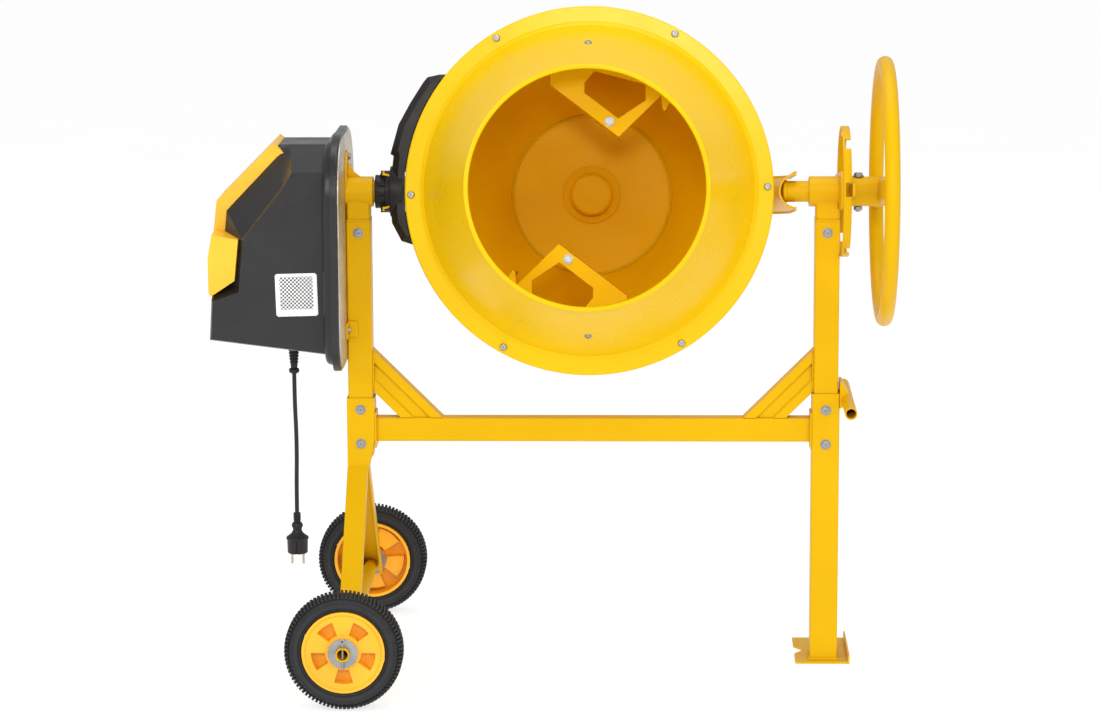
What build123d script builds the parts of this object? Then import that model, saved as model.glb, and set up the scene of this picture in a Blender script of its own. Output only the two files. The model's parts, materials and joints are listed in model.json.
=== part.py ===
"""Electric concrete mixer on a two-wheeled stand, as separate pieces in millimetres.

+X runs from the motor end to the handwheel, -Y is the side the drum mouth faces and +Z is up.
The origin is on the ground under the middle of the whole machine.
"""
import os
from math import acos, atan2, cos, degrees, pi, radians, sin, sqrt, tan

from build123d import *

os.makedirs("parts", exist_ok=True)

# ------------------------------------------------------------------ driving dimensions
left_reach = 611.0  # from the drum axis to the end of the switch buttons
right_reach = 489.0  # from the drum axis to the outer side of the handwheel
drum_x = (left_reach - right_reach) / 2
axis_z = 780.0  # height of the axis the drum tilts about
drum_lean = 9.5  # how far the mouth points above the horizontal

post_side = 40.0
post_wall = 2.5
left_post_x = drum_x - 375.0
right_post_x = drum_x + 385.0
post_top = 734.0
post_foot = 345.0
sleeve_side = 45.0
sleeve_wall = 2.2
sleeve_top = 442.0

beam_height = 40.0
beam_depth = 28.0
beam_z = 388.0
end_plate = 3.0
brace_width = 49.0
brace_top = 522.0

bolt_r = 4.0
hole_r = 4.2
frame_bolt_z = [715.0, 423.0, 366.0]

wheel_r = 94.0
wheel_x = drum_x - 383.5
wheel_y = 301.0
wheel_width = 44.0
rim_r = 66.7
axle_r = 11.0
axle_half = 335.0

belt_line_r = 262.0  # outside of the drum's round belt
flange_r = 297.0
flange_a = 40.0  # distance of the belt flange from the tilt axis, towards the mouth
lip_a = 240.0
lip_r = 188.0
bottom_a = -242.0
bottom_r = 136.0
sheet = 2.5
bend_r = 30.0  # bend between the belt and the rear cone

yoke_half = 334.0
yoke_back = -310.0
yoke_corner = 110.0
channel_r = 29.0
channel_wall = 3.5

shaft_r = 17.0
pivot_r = 18.0
pinion_shaft_r = 9.0
running = 0.05  # radial clearance of a shaft in its bush
gap = 0.3

ring_teeth = 132
pinion_teeth = 12
pinion_pitch_r = 24.8
module = 2 * pinion_pitch_r / pinion_teeth
tooth_pitch = pi * module
pressure_angle = 20.0
addendum = 2.8
dedendum = 4.6
tooth_share = 0.41  # part of the pitch that a tooth fills, the rest is backlash and space

motor_z = 615.0
large_pulley_r = 76.0
small_pulley_r = 9.5
belt_x = drum_x - 426.0
belt_width = 10.0
belt_thick = 4.0

housing_wall = 3.0
housing_x = drum_x - 397.0
rim_depth = 25.0

rim_x = drum_x + 476.5
hand_r = 206.0
hand_tube = 12.3
ring_x = drum_x + 412.3
index_r = 104.3
index_width = 13.0
index_pitch = 22.5
lock_clear = 1.0

cord_d = 7.0
cord_x = drum_x - 485.0
gland_low = 479.0

# ------------------------------------------------------------------ frames of reference
lean = radians(drum_lean)
drum_origin = Vector(drum_x, 0, axis_z)
drum_dir = Vector(0, -cos(lean), sin(lean))
drum_axis = Axis(drum_origin, drum_dir)
drum_profile = Plane(drum_origin, x_dir=(1, 0, 0), z_dir=(0, -sin(lean), -cos(lean)))


def drum_plane(a):
    """The plane across the drum axis, a millimetres towards the mouth; its own y points up."""
    return Plane(drum_origin + drum_dir * a, x_dir=(1, 0, 0), z_dir=drum_dir)


def across_x(x, z=axis_z, y=0.0):
    """The plane across the X direction at x; its own x is world Y and its own y is world Z."""
    return Plane((x, y, z), x_dir=(0, 1, 0), z_dir=(1, 0, 0))


def tilted_x(x):
    """The plane across X at x with its own x along the drum axis, towards the rear."""
    return Plane((x, 0, axis_z), x_dir=drum_dir * -1, z_dir=(1, 0, 0))


def polar(r, angle):
    """A point r from the origin at an angle in degrees."""
    return (r * cos(radians(angle)), r * sin(radians(angle)))


def finish(part, label):
    """Name a piece and write it."""
    part.label = label
    export_step(part, f"parts/{label}.step")


def ring(inner, outer, x, length, z=axis_z, y=0.0):
    """A plain ring or, with no inner radius, a disc, standing across X."""
    with BuildPart() as body:
        with BuildSketch(across_x(x, z, y)):
            Circle(outer)
            if inner:
                Circle(inner, mode=Mode.SUBTRACT)
        extrude(amount=length)
    return body.part


def fastener(grip, shank=bolt_r, head=6.5, head_height=5.0, nut=True, dome=False):
    """A bolt along Z: its head's underside is at zero and its nut closes the grip below."""
    with BuildPart() as body:
        with BuildSketch():
            if dome:
                Circle(head)
            else:
                RegularPolygon(head, 6)
        extrude(amount=head_height)
        if dome:
            fillet(body.edges().group_by(Axis.Z)[-1], head_height * 0.6)
            with BuildSketch(Plane.XY.offset(head_height)):
                RegularPolygon(head * 0.4, 6)
            extrude(amount=-head_height * 0.5, mode=Mode.SUBTRACT)
        else:
            with BuildSketch(Plane.XY):
                Circle(head * 1.3)
            extrude(amount=1.2)
        with BuildSketch():
            Circle(shank)
        extrude(amount=-(grip + (head_height + 2.5 if nut else 0)))
        if nut:
            with BuildSketch(Plane.XY.offset(-grip)):
                RegularPolygon(head, 6)
            extrude(amount=-head_height)
    return body.part


def square_tube(side, wall, x, low, high, corner=3.0):
    """An upright square tube centred on x."""
    with BuildPart() as body:
        with BuildSketch(Plane.XY.offset(low)):
            with Locations((x, 0)):
                RectangleRounded(side, side, corner)
                RectangleRounded(side - 2 * wall, side - 2 * wall, corner / 2, mode=Mode.SUBTRACT)
        extrude(amount=high - low)
    return body.part


def square_bar(side, x, low, high):
    """An upright solid square bar centred on x."""
    with BuildPart() as body:
        with BuildSketch(Plane.XY.offset(low)):
            with Locations((x, 0)):
                Rectangle(side, side)
        extrude(amount=high - low)
    return body.part


def bolt_holes(x, heights, radius=hole_r):
    """The rods that, taken away, leave holes along Y."""
    with BuildPart() as body:
        for z in heights:
            with BuildSketch(Plane((x, 60, z), x_dir=(1, 0, 0), z_dir=(0, -1, 0))):
                Circle(radius)
            extrude(amount=120)
    return body.part


# ------------------------------------------------------------------ posts, beam and braces
for post_name, post_x in (("left_post", left_post_x), ("right_post", right_post_x)):
    with BuildPart() as post:
        add(square_tube(post_side, post_wall, post_x, post_foot, post_top))
        add(bolt_holes(post_x, frame_bolt_z), mode=Mode.SUBTRACT)
    finish(post.part, post_name)

beam_left = left_post_x + sleeve_side / 2 + end_plate
beam_right = right_post_x - sleeve_side / 2 - end_plate
with BuildPart() as cross_beam:
    with BuildSketch(across_x(beam_left, beam_z)):
        RectangleRounded(beam_depth, beam_height, 4)
        RectangleRounded(beam_depth - 4, beam_height - 4, 2, mode=Mode.SUBTRACT)
    extrude(amount=beam_right - beam_left)
finish(cross_beam.part, "cross_beam")

with BuildPart() as beam_end_plates:
    for plate_x in (beam_left - end_plate, beam_right):
        with BuildSketch(across_x(plate_x, beam_z)):
            RectangleRounded(sleeve_side - 3, 60, 4)
        extrude(amount=end_plate)
finish(beam_end_plates.part, "beam_end_plates")


def brace(side):
    """A pressed channel at 45 degrees from a post down to the beam; side is -1 on the left."""
    face = left_post_x + post_side / 2 if side < 0 else right_post_x - post_side / 2
    run = Vector(-side, 0, -1).normalized()
    up = Vector(-side, 0, 1).normalized()
    middle = Vector(face, 0, brace_top - brace_width / sqrt(2))
    start = Plane(middle - run * 60, x_dir=up, z_dir=run)
    toward = 1 if side > 0 else -1
    with BuildPart() as body:
        with BuildSketch(start):
            Rectangle(brace_width, 26)
            with Locations((0, 2.5 * toward)):
                Rectangle(brace_width - 5, 26, mode=Mode.SUBTRACT)
            with BuildLine():
                Polyline((-11, -13 * toward), (-7, -9 * toward), (7, -9 * toward),
                         (11, -13 * toward), close=True)
            make_face(mode=Mode.SUBTRACT)
            with BuildLine():
                Polyline((-13, -10.5 * toward), (-8, -6.5 * toward), (8, -6.5 * toward),
                         (13, -10.5 * toward), (10.5, -10.6 * toward), (7, -9 * toward),
                         (-7, -9 * toward), (-10.5, -10.6 * toward), close=True)
            make_face()
        extrude(amount=320)
        wall = Plane((face, 0, 0), x_dir=(0, 1, 0), z_dir=(1, 0, 0))
        split(bisect_by=wall, keep=Keep.TOP if side < 0 else Keep.BOTTOM)
        split(bisect_by=Plane.XY.offset(beam_z + beam_height / 2), keep=Keep.TOP)
    return body.part


with BuildPart() as braces:
    for brace_side in (-1, 1):
        add(brace(brace_side))
finish(braces.part, "braces")

# ------------------------------------------------------------------ wheel legs, axle and right leg
leg_split = 330.0  # height where the two wheel legs part
leg_end_y = 258.0
leg_depth = 22.0
leg_face = 33.0


def leg_core(inset):
    """The outline of the front wheel leg, shrunk by inset on its face and sides."""
    half = sleeve_side / 2
    front = half - inset
    left = left_post_x - half + inset
    right = left_post_x + half - inset
    slope = (leg_end_y - half) / (leg_split - wheel_r)
    reach = (leg_split + 40) * slope
    with BuildPart() as body:
        with BuildSketch(across_x(left_post_x - half, 0)):
            with BuildLine():
                Polyline((-front, sleeve_top), (-front, leg_split),
                         (-front - reach, -40), (-front - reach + leg_depth * 1.5 + inset, -40),
                         (-half + leg_depth + inset, leg_split + inset * 0.4),
                         (-half + leg_depth + inset, sleeve_top), close=True)
            make_face()
        extrude(amount=sleeve_side)
        with BuildSketch(Plane.XZ.offset(-20)):
            with BuildLine():
                Polyline((left, sleeve_top), (right, sleeve_top), (right, 372),
                         (left + leg_face - 2 * inset, leg_split - 12), (left + leg_face - 2 * inset, 78),
                         (left, 78), close=True)
            make_face()
        extrude(amount=400, mode=Mode.INTERSECT)
    return body.part


def wheel_leg():
    """The front wheel leg: a channel open to the rear, with a hole for the axle."""
    with BuildPart() as body:
        add(leg_core(0))
        add(leg_core(2.5), mode=Mode.SUBTRACT)
        with BuildSketch(Plane((wheel_x, 0, wheel_r), x_dir=(1, 0, 0), z_dir=(0, -1, 0))):
            Circle(axle_r + running)
        extrude(amount=400, mode=Mode.SUBTRACT)
        add(square_bar(post_side, left_post_x, post_foot - 5, sleeve_top + 1), mode=Mode.SUBTRACT)
        add(bolt_holes(left_post_x, frame_bolt_z[1:]), mode=Mode.SUBTRACT)
    return body.part


with BuildPart() as leg_front:
    add(wheel_leg())
finish(leg_front.part, "leg_front")

with BuildPart() as leg_rear:
    add(mirror(wheel_leg(), about=Plane.XZ, mode=Mode.PRIVATE))
finish(leg_rear.part, "leg_rear")

with BuildPart() as axle:
    with BuildSketch(Plane((wheel_x, axle_half, wheel_r), x_dir=(1, 0, 0), z_dir=(0, -1, 0))):
        Circle(axle_r)
        Circle(axle_r - 2.2, mode=Mode.SUBTRACT)
    extrude(amount=2 * axle_half)
    for side in (-1, 1):
        with BuildSketch(Plane.XY.offset(wheel_r - 15)):
            with Locations((wheel_x, side * (axle_half - 5))):
                Circle(2.2)
        extrude(amount=30, mode=Mode.SUBTRACT)
finish(axle.part, "axle")

washer_r = 24.0
with BuildPart() as axle_fasteners:
    for side in (-1, 1):
        for place in (wheel_y + wheel_width / 2 + 1.2, wheel_y - wheel_width / 2 - 2.8):
            low_y = side * place if side > 0 else side * place - 1.8
            with BuildSketch(Plane((wheel_x, low_y, wheel_r), x_dir=(-1, 0, 0), z_dir=(0, 1, 0))):
                Circle(washer_r)
                Circle(axle_r + running, mode=Mode.SUBTRACT)
            extrude(amount=1.8)
        centre_y = side * (axle_half - 5)
        with BuildSketch(Plane.XY.offset(wheel_r - 24)):
            with Locations((wheel_x, centre_y)):
                Circle(1.9)
        extrude(amount=42.5)
        with BuildSketch(Plane((wheel_x, centre_y, wheel_r + 21), x_dir=(1, 0, 0), z_dir=(0, 1, 0))):
            Circle(4.4)
            Circle(2.0, mode=Mode.SUBTRACT)
        extrude(amount=1.5, both=True)
finish(axle_fasteners.part, "axle_fasteners")

with BuildPart() as right_leg:
    add(square_tube(sleeve_side, sleeve_wall, right_post_x, 3, sleeve_top + 8))
    add(bolt_holes(right_post_x, frame_bolt_z[1:]), mode=Mode.SUBTRACT)
finish(right_leg.part, "right_leg")

foot_left = right_post_x - 46.5
foot_width = 89.0
foot_front = -38.7
foot_back = 114.3
with BuildPart() as foot_plate:
    with BuildSketch():
        with BuildLine():
            Polyline((foot_left, foot_front), (foot_left + foot_width, foot_front),
                     (foot_left + foot_width, foot_back), (foot_left, foot_back),
                     (foot_left, 62), (foot_left + 17, 38), (foot_left, 14), close=True)
        make_face()
        with Locations((right_post_x, 85), (right_post_x + 28, -26)):
            Circle(4.5, mode=Mode.SUBTRACT)
    extrude(amount=3)
    with BuildSketch(Plane.XY.offset(3)):
        with Locations((foot_left + foot_width - 1.5, (foot_front + foot_back) / 2)):
            Rectangle(3, foot_back - foot_front)
    extrude(amount=11)
finish(foot_plate.part, "foot_plate")

handle_x = drum_x + 420.7
handle_z = 437.5
handle_half = 121.5
leg_side = right_post_x + sleeve_side / 2
with BuildPart() as transport_handle:
    with BuildSketch(Plane((handle_x, handle_half, handle_z), x_dir=(1, 0, 0), z_dir=(0, -1, 0))):
        Circle(10)
    extrude(amount=2 * handle_half)
    with BuildSketch(Plane((0, 22, 0), x_dir=(1, 0, 0), z_dir=(0, -1, 0))):
        with BuildLine():
            Polyline((leg_side + 0.05, 470), (leg_side + 4, 470), (handle_x + 4, 444),
                     (handle_x, handle_z - 6), (leg_side + 0.05, handle_z - 12), close=True)
        make_face()
    extrude(amount=44)
    with BuildSketch(Plane((handle_x, handle_half, handle_z), x_dir=(1, 0, 0), z_dir=(0, -1, 0))):
        Circle(8)
    extrude(amount=2 * handle_half, mode=Mode.SUBTRACT)
finish(transport_handle.part, "transport_handle")

# ------------------------------------------------------------------ bearing brackets and their bushes
left_tube_x = (drum_x - 399.0, drum_x - 351.0)
right_tube_x = (drum_x + 355.0, drum_x + 402.5)
bracket_out = 24.5
bracket_bore = 22.0
insert_side = post_side - 2 * post_wall - 0.6


def bearing_bracket(post_x, low_x, high_x):
    """A bearing tube on a neck that plugs into the top of a post."""
    with BuildPart() as body:
        add(ring(0, bracket_out, low_x, high_x - low_x))
        with BuildSketch(Plane.XY.offset(post_top + 3)):
            with Locations((post_x, 0)):
                RectangleRounded(post_side - 1.5, post_side - 1.5, 5)
        extrude(amount=axis_z - post_top - 3)
        with BuildSketch(Plane.XY.offset(post_top)):
            with Locations((post_x, 0)):
                RectangleRounded(post_side - 0.3, post_side + 2, 3)
        extrude(amount=3)
        with BuildSketch(Plane.XY.offset(post_top - 45)):
            with Locations((post_x, 0)):
                RectangleRounded(insert_side, insert_side, 2)
                RectangleRounded(insert_side - 5, insert_side - 5, 1, mode=Mode.SUBTRACT)
        extrude(amount=45)
        add(ring(0, bracket_bore, low_x - 1, high_x - low_x + 2), mode=Mode.SUBTRACT)
        add(bolt_holes(post_x, frame_bolt_z[:1]), mode=Mode.SUBTRACT)
    return body.part


ear_bolts = [(0.0, 836.0), (0.0, 818.0)]
tab_bolt = (-33.0, 557.0)
with BuildPart() as left_bearing_bracket:
    add(bearing_bracket(left_post_x, *left_tube_x))
    with BuildSketch(across_x(drum_x - 394.9)):
        with BuildLine():
            Polyline((-24, 8), (24, 8), (24, 44), (12, 66), (-12, 66), (-24, 44), close=True)
        make_face()
    extrude(amount=3)
    with BuildSketch(Plane.XZ.offset(-2)):
        with BuildLine():
            Polyline((drum_x - 391.9, axis_z + 58), (drum_x - 391.9, axis_z + 20),
                     (drum_x - 354, axis_z + 20))
            ThreePointArc((drum_x - 354, axis_z + 20), (drum_x - 381, axis_z + 32),
                          (drum_x - 391.9, axis_z + 58))
        make_face()
    extrude(amount=4)
    for bolt_y, bolt_z in ear_bolts:
        add(ring(0, hole_r - 1, drum_x - 396, 6, bolt_z, bolt_y + 14), mode=Mode.SUBTRACT)
    add(ring(0, bracket_bore, left_tube_x[0] - 1, 60), mode=Mode.SUBTRACT)
finish(left_bearing_bracket.part, "left_bearing_bracket")

plate_thick = 4.0
with BuildPart() as right_bearing_bracket:
    add(bearing_bracket(right_post_x, *right_tube_x))
    with BuildSketch(tilted_x(right_tube_x[1])):
        Circle(index_r - 1.8)
        Rectangle(2 * index_r, 60, mode=Mode.INTERSECT)
    extrude(amount=plate_thick)
    add(ring(0, shaft_r + 1, right_tube_x[1] - 1, 8), mode=Mode.SUBTRACT)
finish(right_bearing_bracket.part, "right_bearing_bracket")

with BuildPart() as pivot_bushes:
    add(ring(pivot_r + running, bracket_bore - 0.05, left_tube_x[0] + 2, 44))
    add(ring(shaft_r + running, bracket_bore - 0.05, right_tube_x[0] + 1, 44))
finish(pivot_bushes.part, "pivot_bushes")

with BuildPart() as index_ring:
    add(ring(index_r - 1.5, index_r + 1.5, ring_x - index_width / 2, index_width))
    with BuildSketch(tilted_x(ring_x + index_width / 2 - 9)):
        for notch in range(int(360 / index_pitch)):
            with Locations(Location((0, 0, 0), (0, 0, notch * index_pitch))):
                with Locations((index_r, 0)):
                    Rectangle(12, 23)
    extrude(amount=12, mode=Mode.SUBTRACT)
finish(index_ring.part, "index_ring")

with BuildPart() as frame_bolts:
    for post_x in (left_post_x, right_post_x):
        for bolt_z in frame_bolt_z:
            side = post_side if bolt_z > sleeve_top else sleeve_side
            seat = Plane((post_x, -side / 2 - 0.05, bolt_z), x_dir=(1, 0, 0), z_dir=(0, -1, 0))
            with Locations(seat.location):
                add(fastener(side + 0.1))
finish(frame_bolts.part, "frame_bolts")

# ------------------------------------------------------------------ motor housing and what it holds
back_low = 507.0
back_high = 875.0
back_half = 151.0
corner_top = 92.0
corner_low = 58.0


def rim_face(x, grow):
    """The outline of the housing's back, grown by an amount, standing across X at x."""
    half = back_half + grow
    with BuildSketch(across_x(x, 0)) as outline:
        with BuildLine():
            FilletPolyline((-half, back_low - grow), (half, back_low - grow), (half, back_high + grow),
                           (-half, back_high + grow), close=True,
                           radius=[corner_low + grow, corner_low + grow, corner_top + grow,
                                   corner_top + grow])
        make_face()
    return outline.sketch.faces()[0]


with BuildPart() as motor_back_plate:
    extrude(rim_face(housing_x, 0), amount=2)
    add(ring(0, bracket_out + 0.4, housing_x - 1, 4), mode=Mode.SUBTRACT)
    for bolt_y, bolt_z in ear_bolts:
        add(ring(0, hole_r - 1, housing_x - 2, 6, bolt_z, bolt_y + 14), mode=Mode.SUBTRACT)
    add(ring(0, hole_r - 1, housing_x - 2, 6, tab_bolt[1], tab_bolt[0]), mode=Mode.SUBTRACT)
finish(motor_back_plate.part, "motor_back_plate")

with BuildPart() as lower_tab:
    with BuildSketch(Plane.XY.offset(544)):
        with BuildLine():
            Polyline((housing_x + 2.1, -46), (housing_x + 5, -46), (housing_x + 5, -23.2),
                     (left_post_x - 2, -23.2), (left_post_x - 2, -20.1), (housing_x + 2.1, -20.1),
                     close=True)
        make_face()
    extrude(amount=26)
    add(ring(0, hole_r - 1, housing_x - 2, 12, tab_bolt[1], tab_bolt[0]), mode=Mode.SUBTRACT)
finish(lower_tab.part, "lower_tab")

# outlines of the housing's body seen along Y: at its middle ridge and at its sides, point for point
body_in = housing_x - rim_depth + 8
body_bottom = 529.0
body_half = 124.0
shoulder_half = 116.0
ridge_half = 45.0
ridge_outline = [(body_in + 20, 863), (drum_x - 497, 863), (drum_x - 504, 858), (drum_x - 592, 770),
                 (drum_x - 605, 640), (drum_x - 605, 625), (drum_x - 605, 553),
                 (body_in + 20, body_bottom)]
side_outline = [(body_in + 20, 832), (drum_x - 472, 831), (drum_x - 487, 805), (drum_x - 554, 720),
                (drum_x - 562, 637), (drum_x - 604, 622), (drum_x - 608, 556),
                (body_in + 20, body_bottom)]


def body_sketch(points, y, inset):
    """A body outline standing at -y, shrunk by inset."""
    with BuildSketch(Plane.XZ.offset(y)) as outline:
        with BuildLine():
            Polyline(*points, close=True)
        make_face()
        if inset:
            offset(amount=-inset, kind=Kind.INTERSECTION, mode=Mode.REPLACE)
    return outline.sketch.faces()[0]


def housing_half(inset):
    """The -Y half of the housing's body, shrunk by inset."""
    side_face = body_sketch(side_outline, shoulder_half - inset, inset)
    with BuildPart() as body:
        extrude(body_sketch(ridge_outline, 0, inset), amount=ridge_half)
        loft([body_sketch(ridge_outline, ridge_half, inset), side_face], ruled=True)
        extrude(side_face, amount=body_half - shoulder_half, taper=20)
    return body.part


def housing_solid(inset):
    """The whole housing body, shrunk by inset and cut off where it meets the rim."""
    half = housing_half(inset)
    with BuildPart() as body:
        add(half)
        add(mirror(half, about=Plane.XZ, mode=Mode.PRIVATE))
        split(bisect_by=across_x(body_in if inset else body_in - 4), keep=Keep.BOTTOM)
    return body.part


switch_z = 588.0
button_y = 17.0
with BuildPart() as motor_housing:
    extrude(rim_face(housing_x - rim_depth, -7), amount=rim_depth - 0.2, taper=-12)
    fillet(motor_housing.edges().group_by(Axis.X)[0], 8)
    extrude(rim_face(housing_x - 12, 5), amount=11.8)
    fillet(motor_housing.edges().group_by(Axis.X)[-1], 3)
    add(housing_solid(0))
    extrude(rim_face(housing_x - rim_depth + 3, -13), amount=rim_depth, mode=Mode.SUBTRACT)
    add(housing_solid(housing_wall), mode=Mode.SUBTRACT)
    extrude(rim_face(housing_x - rim_depth - 12, -housing_wall - 35), amount=20, mode=Mode.SUBTRACT)
    with BuildSketch(across_x(drum_x - left_reach, switch_z)):
        RectangleRounded(70, 44, 4)
    extrude(amount=12, mode=Mode.SUBTRACT)
    with BuildSketch(Plane.XY.offset(body_bottom - 20)):
        with Locations((cord_x, 0)):
            Circle(9.2)
    extrude(amount=40, mode=Mode.SUBTRACT)
finish(motor_housing.part, "motor_housing")

trim_half = 62.0
trim_side = 122.0
with BuildPart() as housing_trim:
    with BuildSketch(Plane.XZ.offset(-trim_half)):
        with BuildLine():
            Polyline((drum_x - 500.6, 862), (drum_x - 507, 866.5), (drum_x - 599, 774),
                     (drum_x - 609, 690), (drum_x - 608.5, 640), (drum_x - 585, 640),
                     (drum_x - 572, 765), (drum_x - 488, 850), close=True)
        make_face()
    extrude(amount=2 * trim_half)
    for side in (-1, 1):
        with BuildSketch(Plane.XZ.offset((trim_half - 1) * side)):
            with BuildLine():
                Polyline((drum_x - 608, 690), (drum_x - 601, 728), (drum_x - 559, 719),
                         (drum_x - 566, 653), (drum_x - 605, 627), (drum_x - 608, 636), close=True)
            make_face()
        extrude(amount=(trim_side - trim_half + 1) * side)
    add(housing_solid(0), mode=Mode.SUBTRACT)
finish(housing_trim.part, "housing_trim")

with BuildPart() as housing_screws:
    for screw_y, screw_z in [*[(y + 14, z) for y, z in ear_bolts], tab_bolt]:
        inner = housing_x + (5.2 if screw_z > axis_z else 5.1)
        with Locations(Plane((inner, screw_y, screw_z), x_dir=(0, 1, 0), z_dir=(1, 0, 0)).location):
            add(fastener(inner - housing_x + 0.1, shank=3, head=5, head_height=3.5))
finish(housing_screws.part, "housing_screws")

motor_r = 55.0
motor_x = (drum_x - 545.0, drum_x - 447.0)
with BuildPart() as motor_stator:
    add(ring(0, motor_r, motor_x[0], motor_x[1] - motor_x[0], motor_z))
    with BuildSketch(across_x(motor_x[0] + 12, motor_z)):
        for fin in range(24):
            with Locations(Location((0, 0, 0), (0, 0, fin * 15))):
                with Locations((motor_r, 0)):
                    Rectangle(7, 5)
    extrude(amount=motor_x[1] - motor_x[0] - 24, mode=Mode.SUBTRACT)
    add(ring(0, 30.5, motor_x[0] + 8, motor_x[1] - motor_x[0] - 16, motor_z), mode=Mode.SUBTRACT)
    add(ring(0, 7 + running, motor_x[0] - 1, 120, motor_z), mode=Mode.SUBTRACT)
finish(motor_stator.part, "motor_stator")

with BuildPart() as motor_mount:
    with BuildSketch(across_x(motor_x[1] + 0.05, motor_z)):
        RectangleRounded(150, 100, 10)
        Circle(20, mode=Mode.SUBTRACT)
    extrude(amount=4)
    for foot_y in (-66, 66):
        for foot_z in (-40, 40):
            add(ring(0, 5, motor_x[1] + 4, housing_x - motor_x[1] - 4.05, motor_z + foot_z, foot_y))
finish(motor_mount.part, "motor_mount")

with BuildPart() as motor_rotor:
    add(ring(0, 7, drum_x - 556, 556 - 416, motor_z))
    add(ring(0, 29.8, motor_x[0] + 12, motor_x[1] - motor_x[0] - 24, motor_z))
finish(motor_rotor.part, "motor_rotor")

with BuildPart() as cooling_fan:
    add(ring(7.02, 14, drum_x - 555.5, 9.5, motor_z))
    add(ring(7.02, 42, drum_x - 548.5, 2, motor_z))
    with BuildSketch(across_x(drum_x - 555.5, motor_z)):
        for blade in range(8):
            with Locations(Location((0, 0, 0), (0, 0, blade * 45))):
                with Locations((27, 0)):
                    Rectangle(29, 2)
    extrude(amount=7.5)
finish(cooling_fan.part, "cooling_fan")


def pulley(radius, bore, z):
    """A belt pulley with two flanges, its groove on the belt's line."""
    groove = belt_width / 2 + gap
    with BuildPart() as body:
        with BuildSketch(Plane((belt_x, 0, z), x_dir=(1, 0, 0), z_dir=(0, -1, 0))):
            with BuildLine():
                Polyline((-groove - 2.5, bore), (groove + 2.5, bore), (groove + 2.5, radius + 4),
                         (groove, radius + 4), (groove, radius), (-groove, radius),
                         (-groove, radius + 4), (-groove - 2.5, radius + 4), close=True)
            make_face()
        revolve(axis=Axis((belt_x, 0, z), (1, 0, 0)))
    return body.part


with BuildPart() as large_pulley:
    add(pulley(large_pulley_r, pinion_shaft_r + 0.02, axis_z))
    for low in (belt_x - 9, belt_x + 2.5):
        add(ring(24, large_pulley_r - 8, low, 6.5), mode=Mode.SUBTRACT)
    with BuildSketch(across_x(belt_x - 10)):
        with PolarLocations(46, 6):
            Circle(13)
    extrude(amount=20, mode=Mode.SUBTRACT)
finish(large_pulley.part, "large_pulley")

with BuildPart() as small_pulley:
    add(pulley(small_pulley_r, 7.02, motor_z))
finish(small_pulley.part, "small_pulley")

centre_gap = axis_z - motor_z


def belt_outline(extra):
    """The open loop of the belt at a distance from the pulleys, as two discs and their common tangents."""
    big = large_pulley_r + extra
    small = small_pulley_r + extra
    lean_angle = degrees(acos((big - small) / centre_gap))
    touch_big = polar(big, -90 + lean_angle)
    touch_small = polar(small, -90 + lean_angle)
    top = axis_z
    low = motor_z
    with BuildLine() as outline:
        Line((touch_small[0], low + touch_small[1]), (touch_big[0], top + touch_big[1]))
        ThreePointArc((touch_big[0], top + touch_big[1]), (0, top + big),
                      (-touch_big[0], top + touch_big[1]))
        Line((-touch_big[0], top + touch_big[1]), (-touch_small[0], low + touch_small[1]))
        ThreePointArc((-touch_small[0], low + touch_small[1]), (0, low - small),
                      (touch_small[0], low + touch_small[1]))
    return outline.line


with BuildPart() as drive_belt:
    with BuildSketch(across_x(belt_x - belt_width / 2, 0)):
        with BuildLine():
            add(belt_outline(gap + belt_thick - 0.6))
        make_face()
        with BuildLine():
            add(belt_outline(gap))
        make_face(mode=Mode.SUBTRACT)
    extrude(amount=belt_width)
finish(drive_belt.part, "drive_belt")

with BuildPart() as switch_box:
    with BuildSketch(across_x(drum_x - 605.05, switch_z)):
        RectangleRounded(69, 43, 4)
    extrude(amount=40)
    with BuildSketch(across_x(drum_x - 607.5, switch_z)):
        RectangleRounded(80, 52, 6)
    extrude(amount=2.45)
    with BuildSketch(across_x(drum_x - 608, switch_z)):
        with Locations((-button_y, 0), (button_y, 0)):
            Circle(11)
    extrude(amount=18, mode=Mode.SUBTRACT)
finish(switch_box.part, "switch_box")

for button_name, place_y in (("start_button", -button_y), ("stop_button", button_y)):
    with BuildPart() as button:
        add(ring(0, 10.4, drum_x - left_reach, 16, switch_z, place_y))
        fillet(button.edges().group_by(Axis.X)[0], 1.5)
    finish(button.part, button_name)

with BuildPart() as capacitor:
    add(ring(0, 19, drum_x - 520, 78, 735, -88))
    fillet(capacitor.edges().group_by(Axis.X)[0], 3)
finish(capacitor.part, "capacitor")

# ------------------------------------------------------------------ cable gland, cord and plug
with BuildPart() as cable_gland:
    with BuildSketch(Plane.XZ):
        with BuildLine():
            Polyline((cord_x + 3.6, 546), (cord_x + 9, 546), (cord_x + 9, 531), (cord_x + 10, 529),
                     (cord_x + 10, 497), (cord_x + 8.5, 494), (cord_x + 5, 487), (cord_x + 8.5, 484),
                     (cord_x + 8.5, 481), (cord_x + 5, gland_low), (cord_x, gland_low),
                     (cord_x, 546), close=True)
        make_face()
    revolve(axis=Axis((cord_x, 0, 0), (0, 0, 1)))
finish(cable_gland.part, "cable_gland")

plug_top = 245.0
cord_route = [(cord_x, 0, gland_low), (cord_x, 0, 432), (cord_x + 1.6, 0.8, 386),
              (cord_x + 1.9, 0.4, 339), (cord_x + 0.6, -0.5, 292), (cord_x + 0.6, -0.5, plug_top)]


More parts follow.
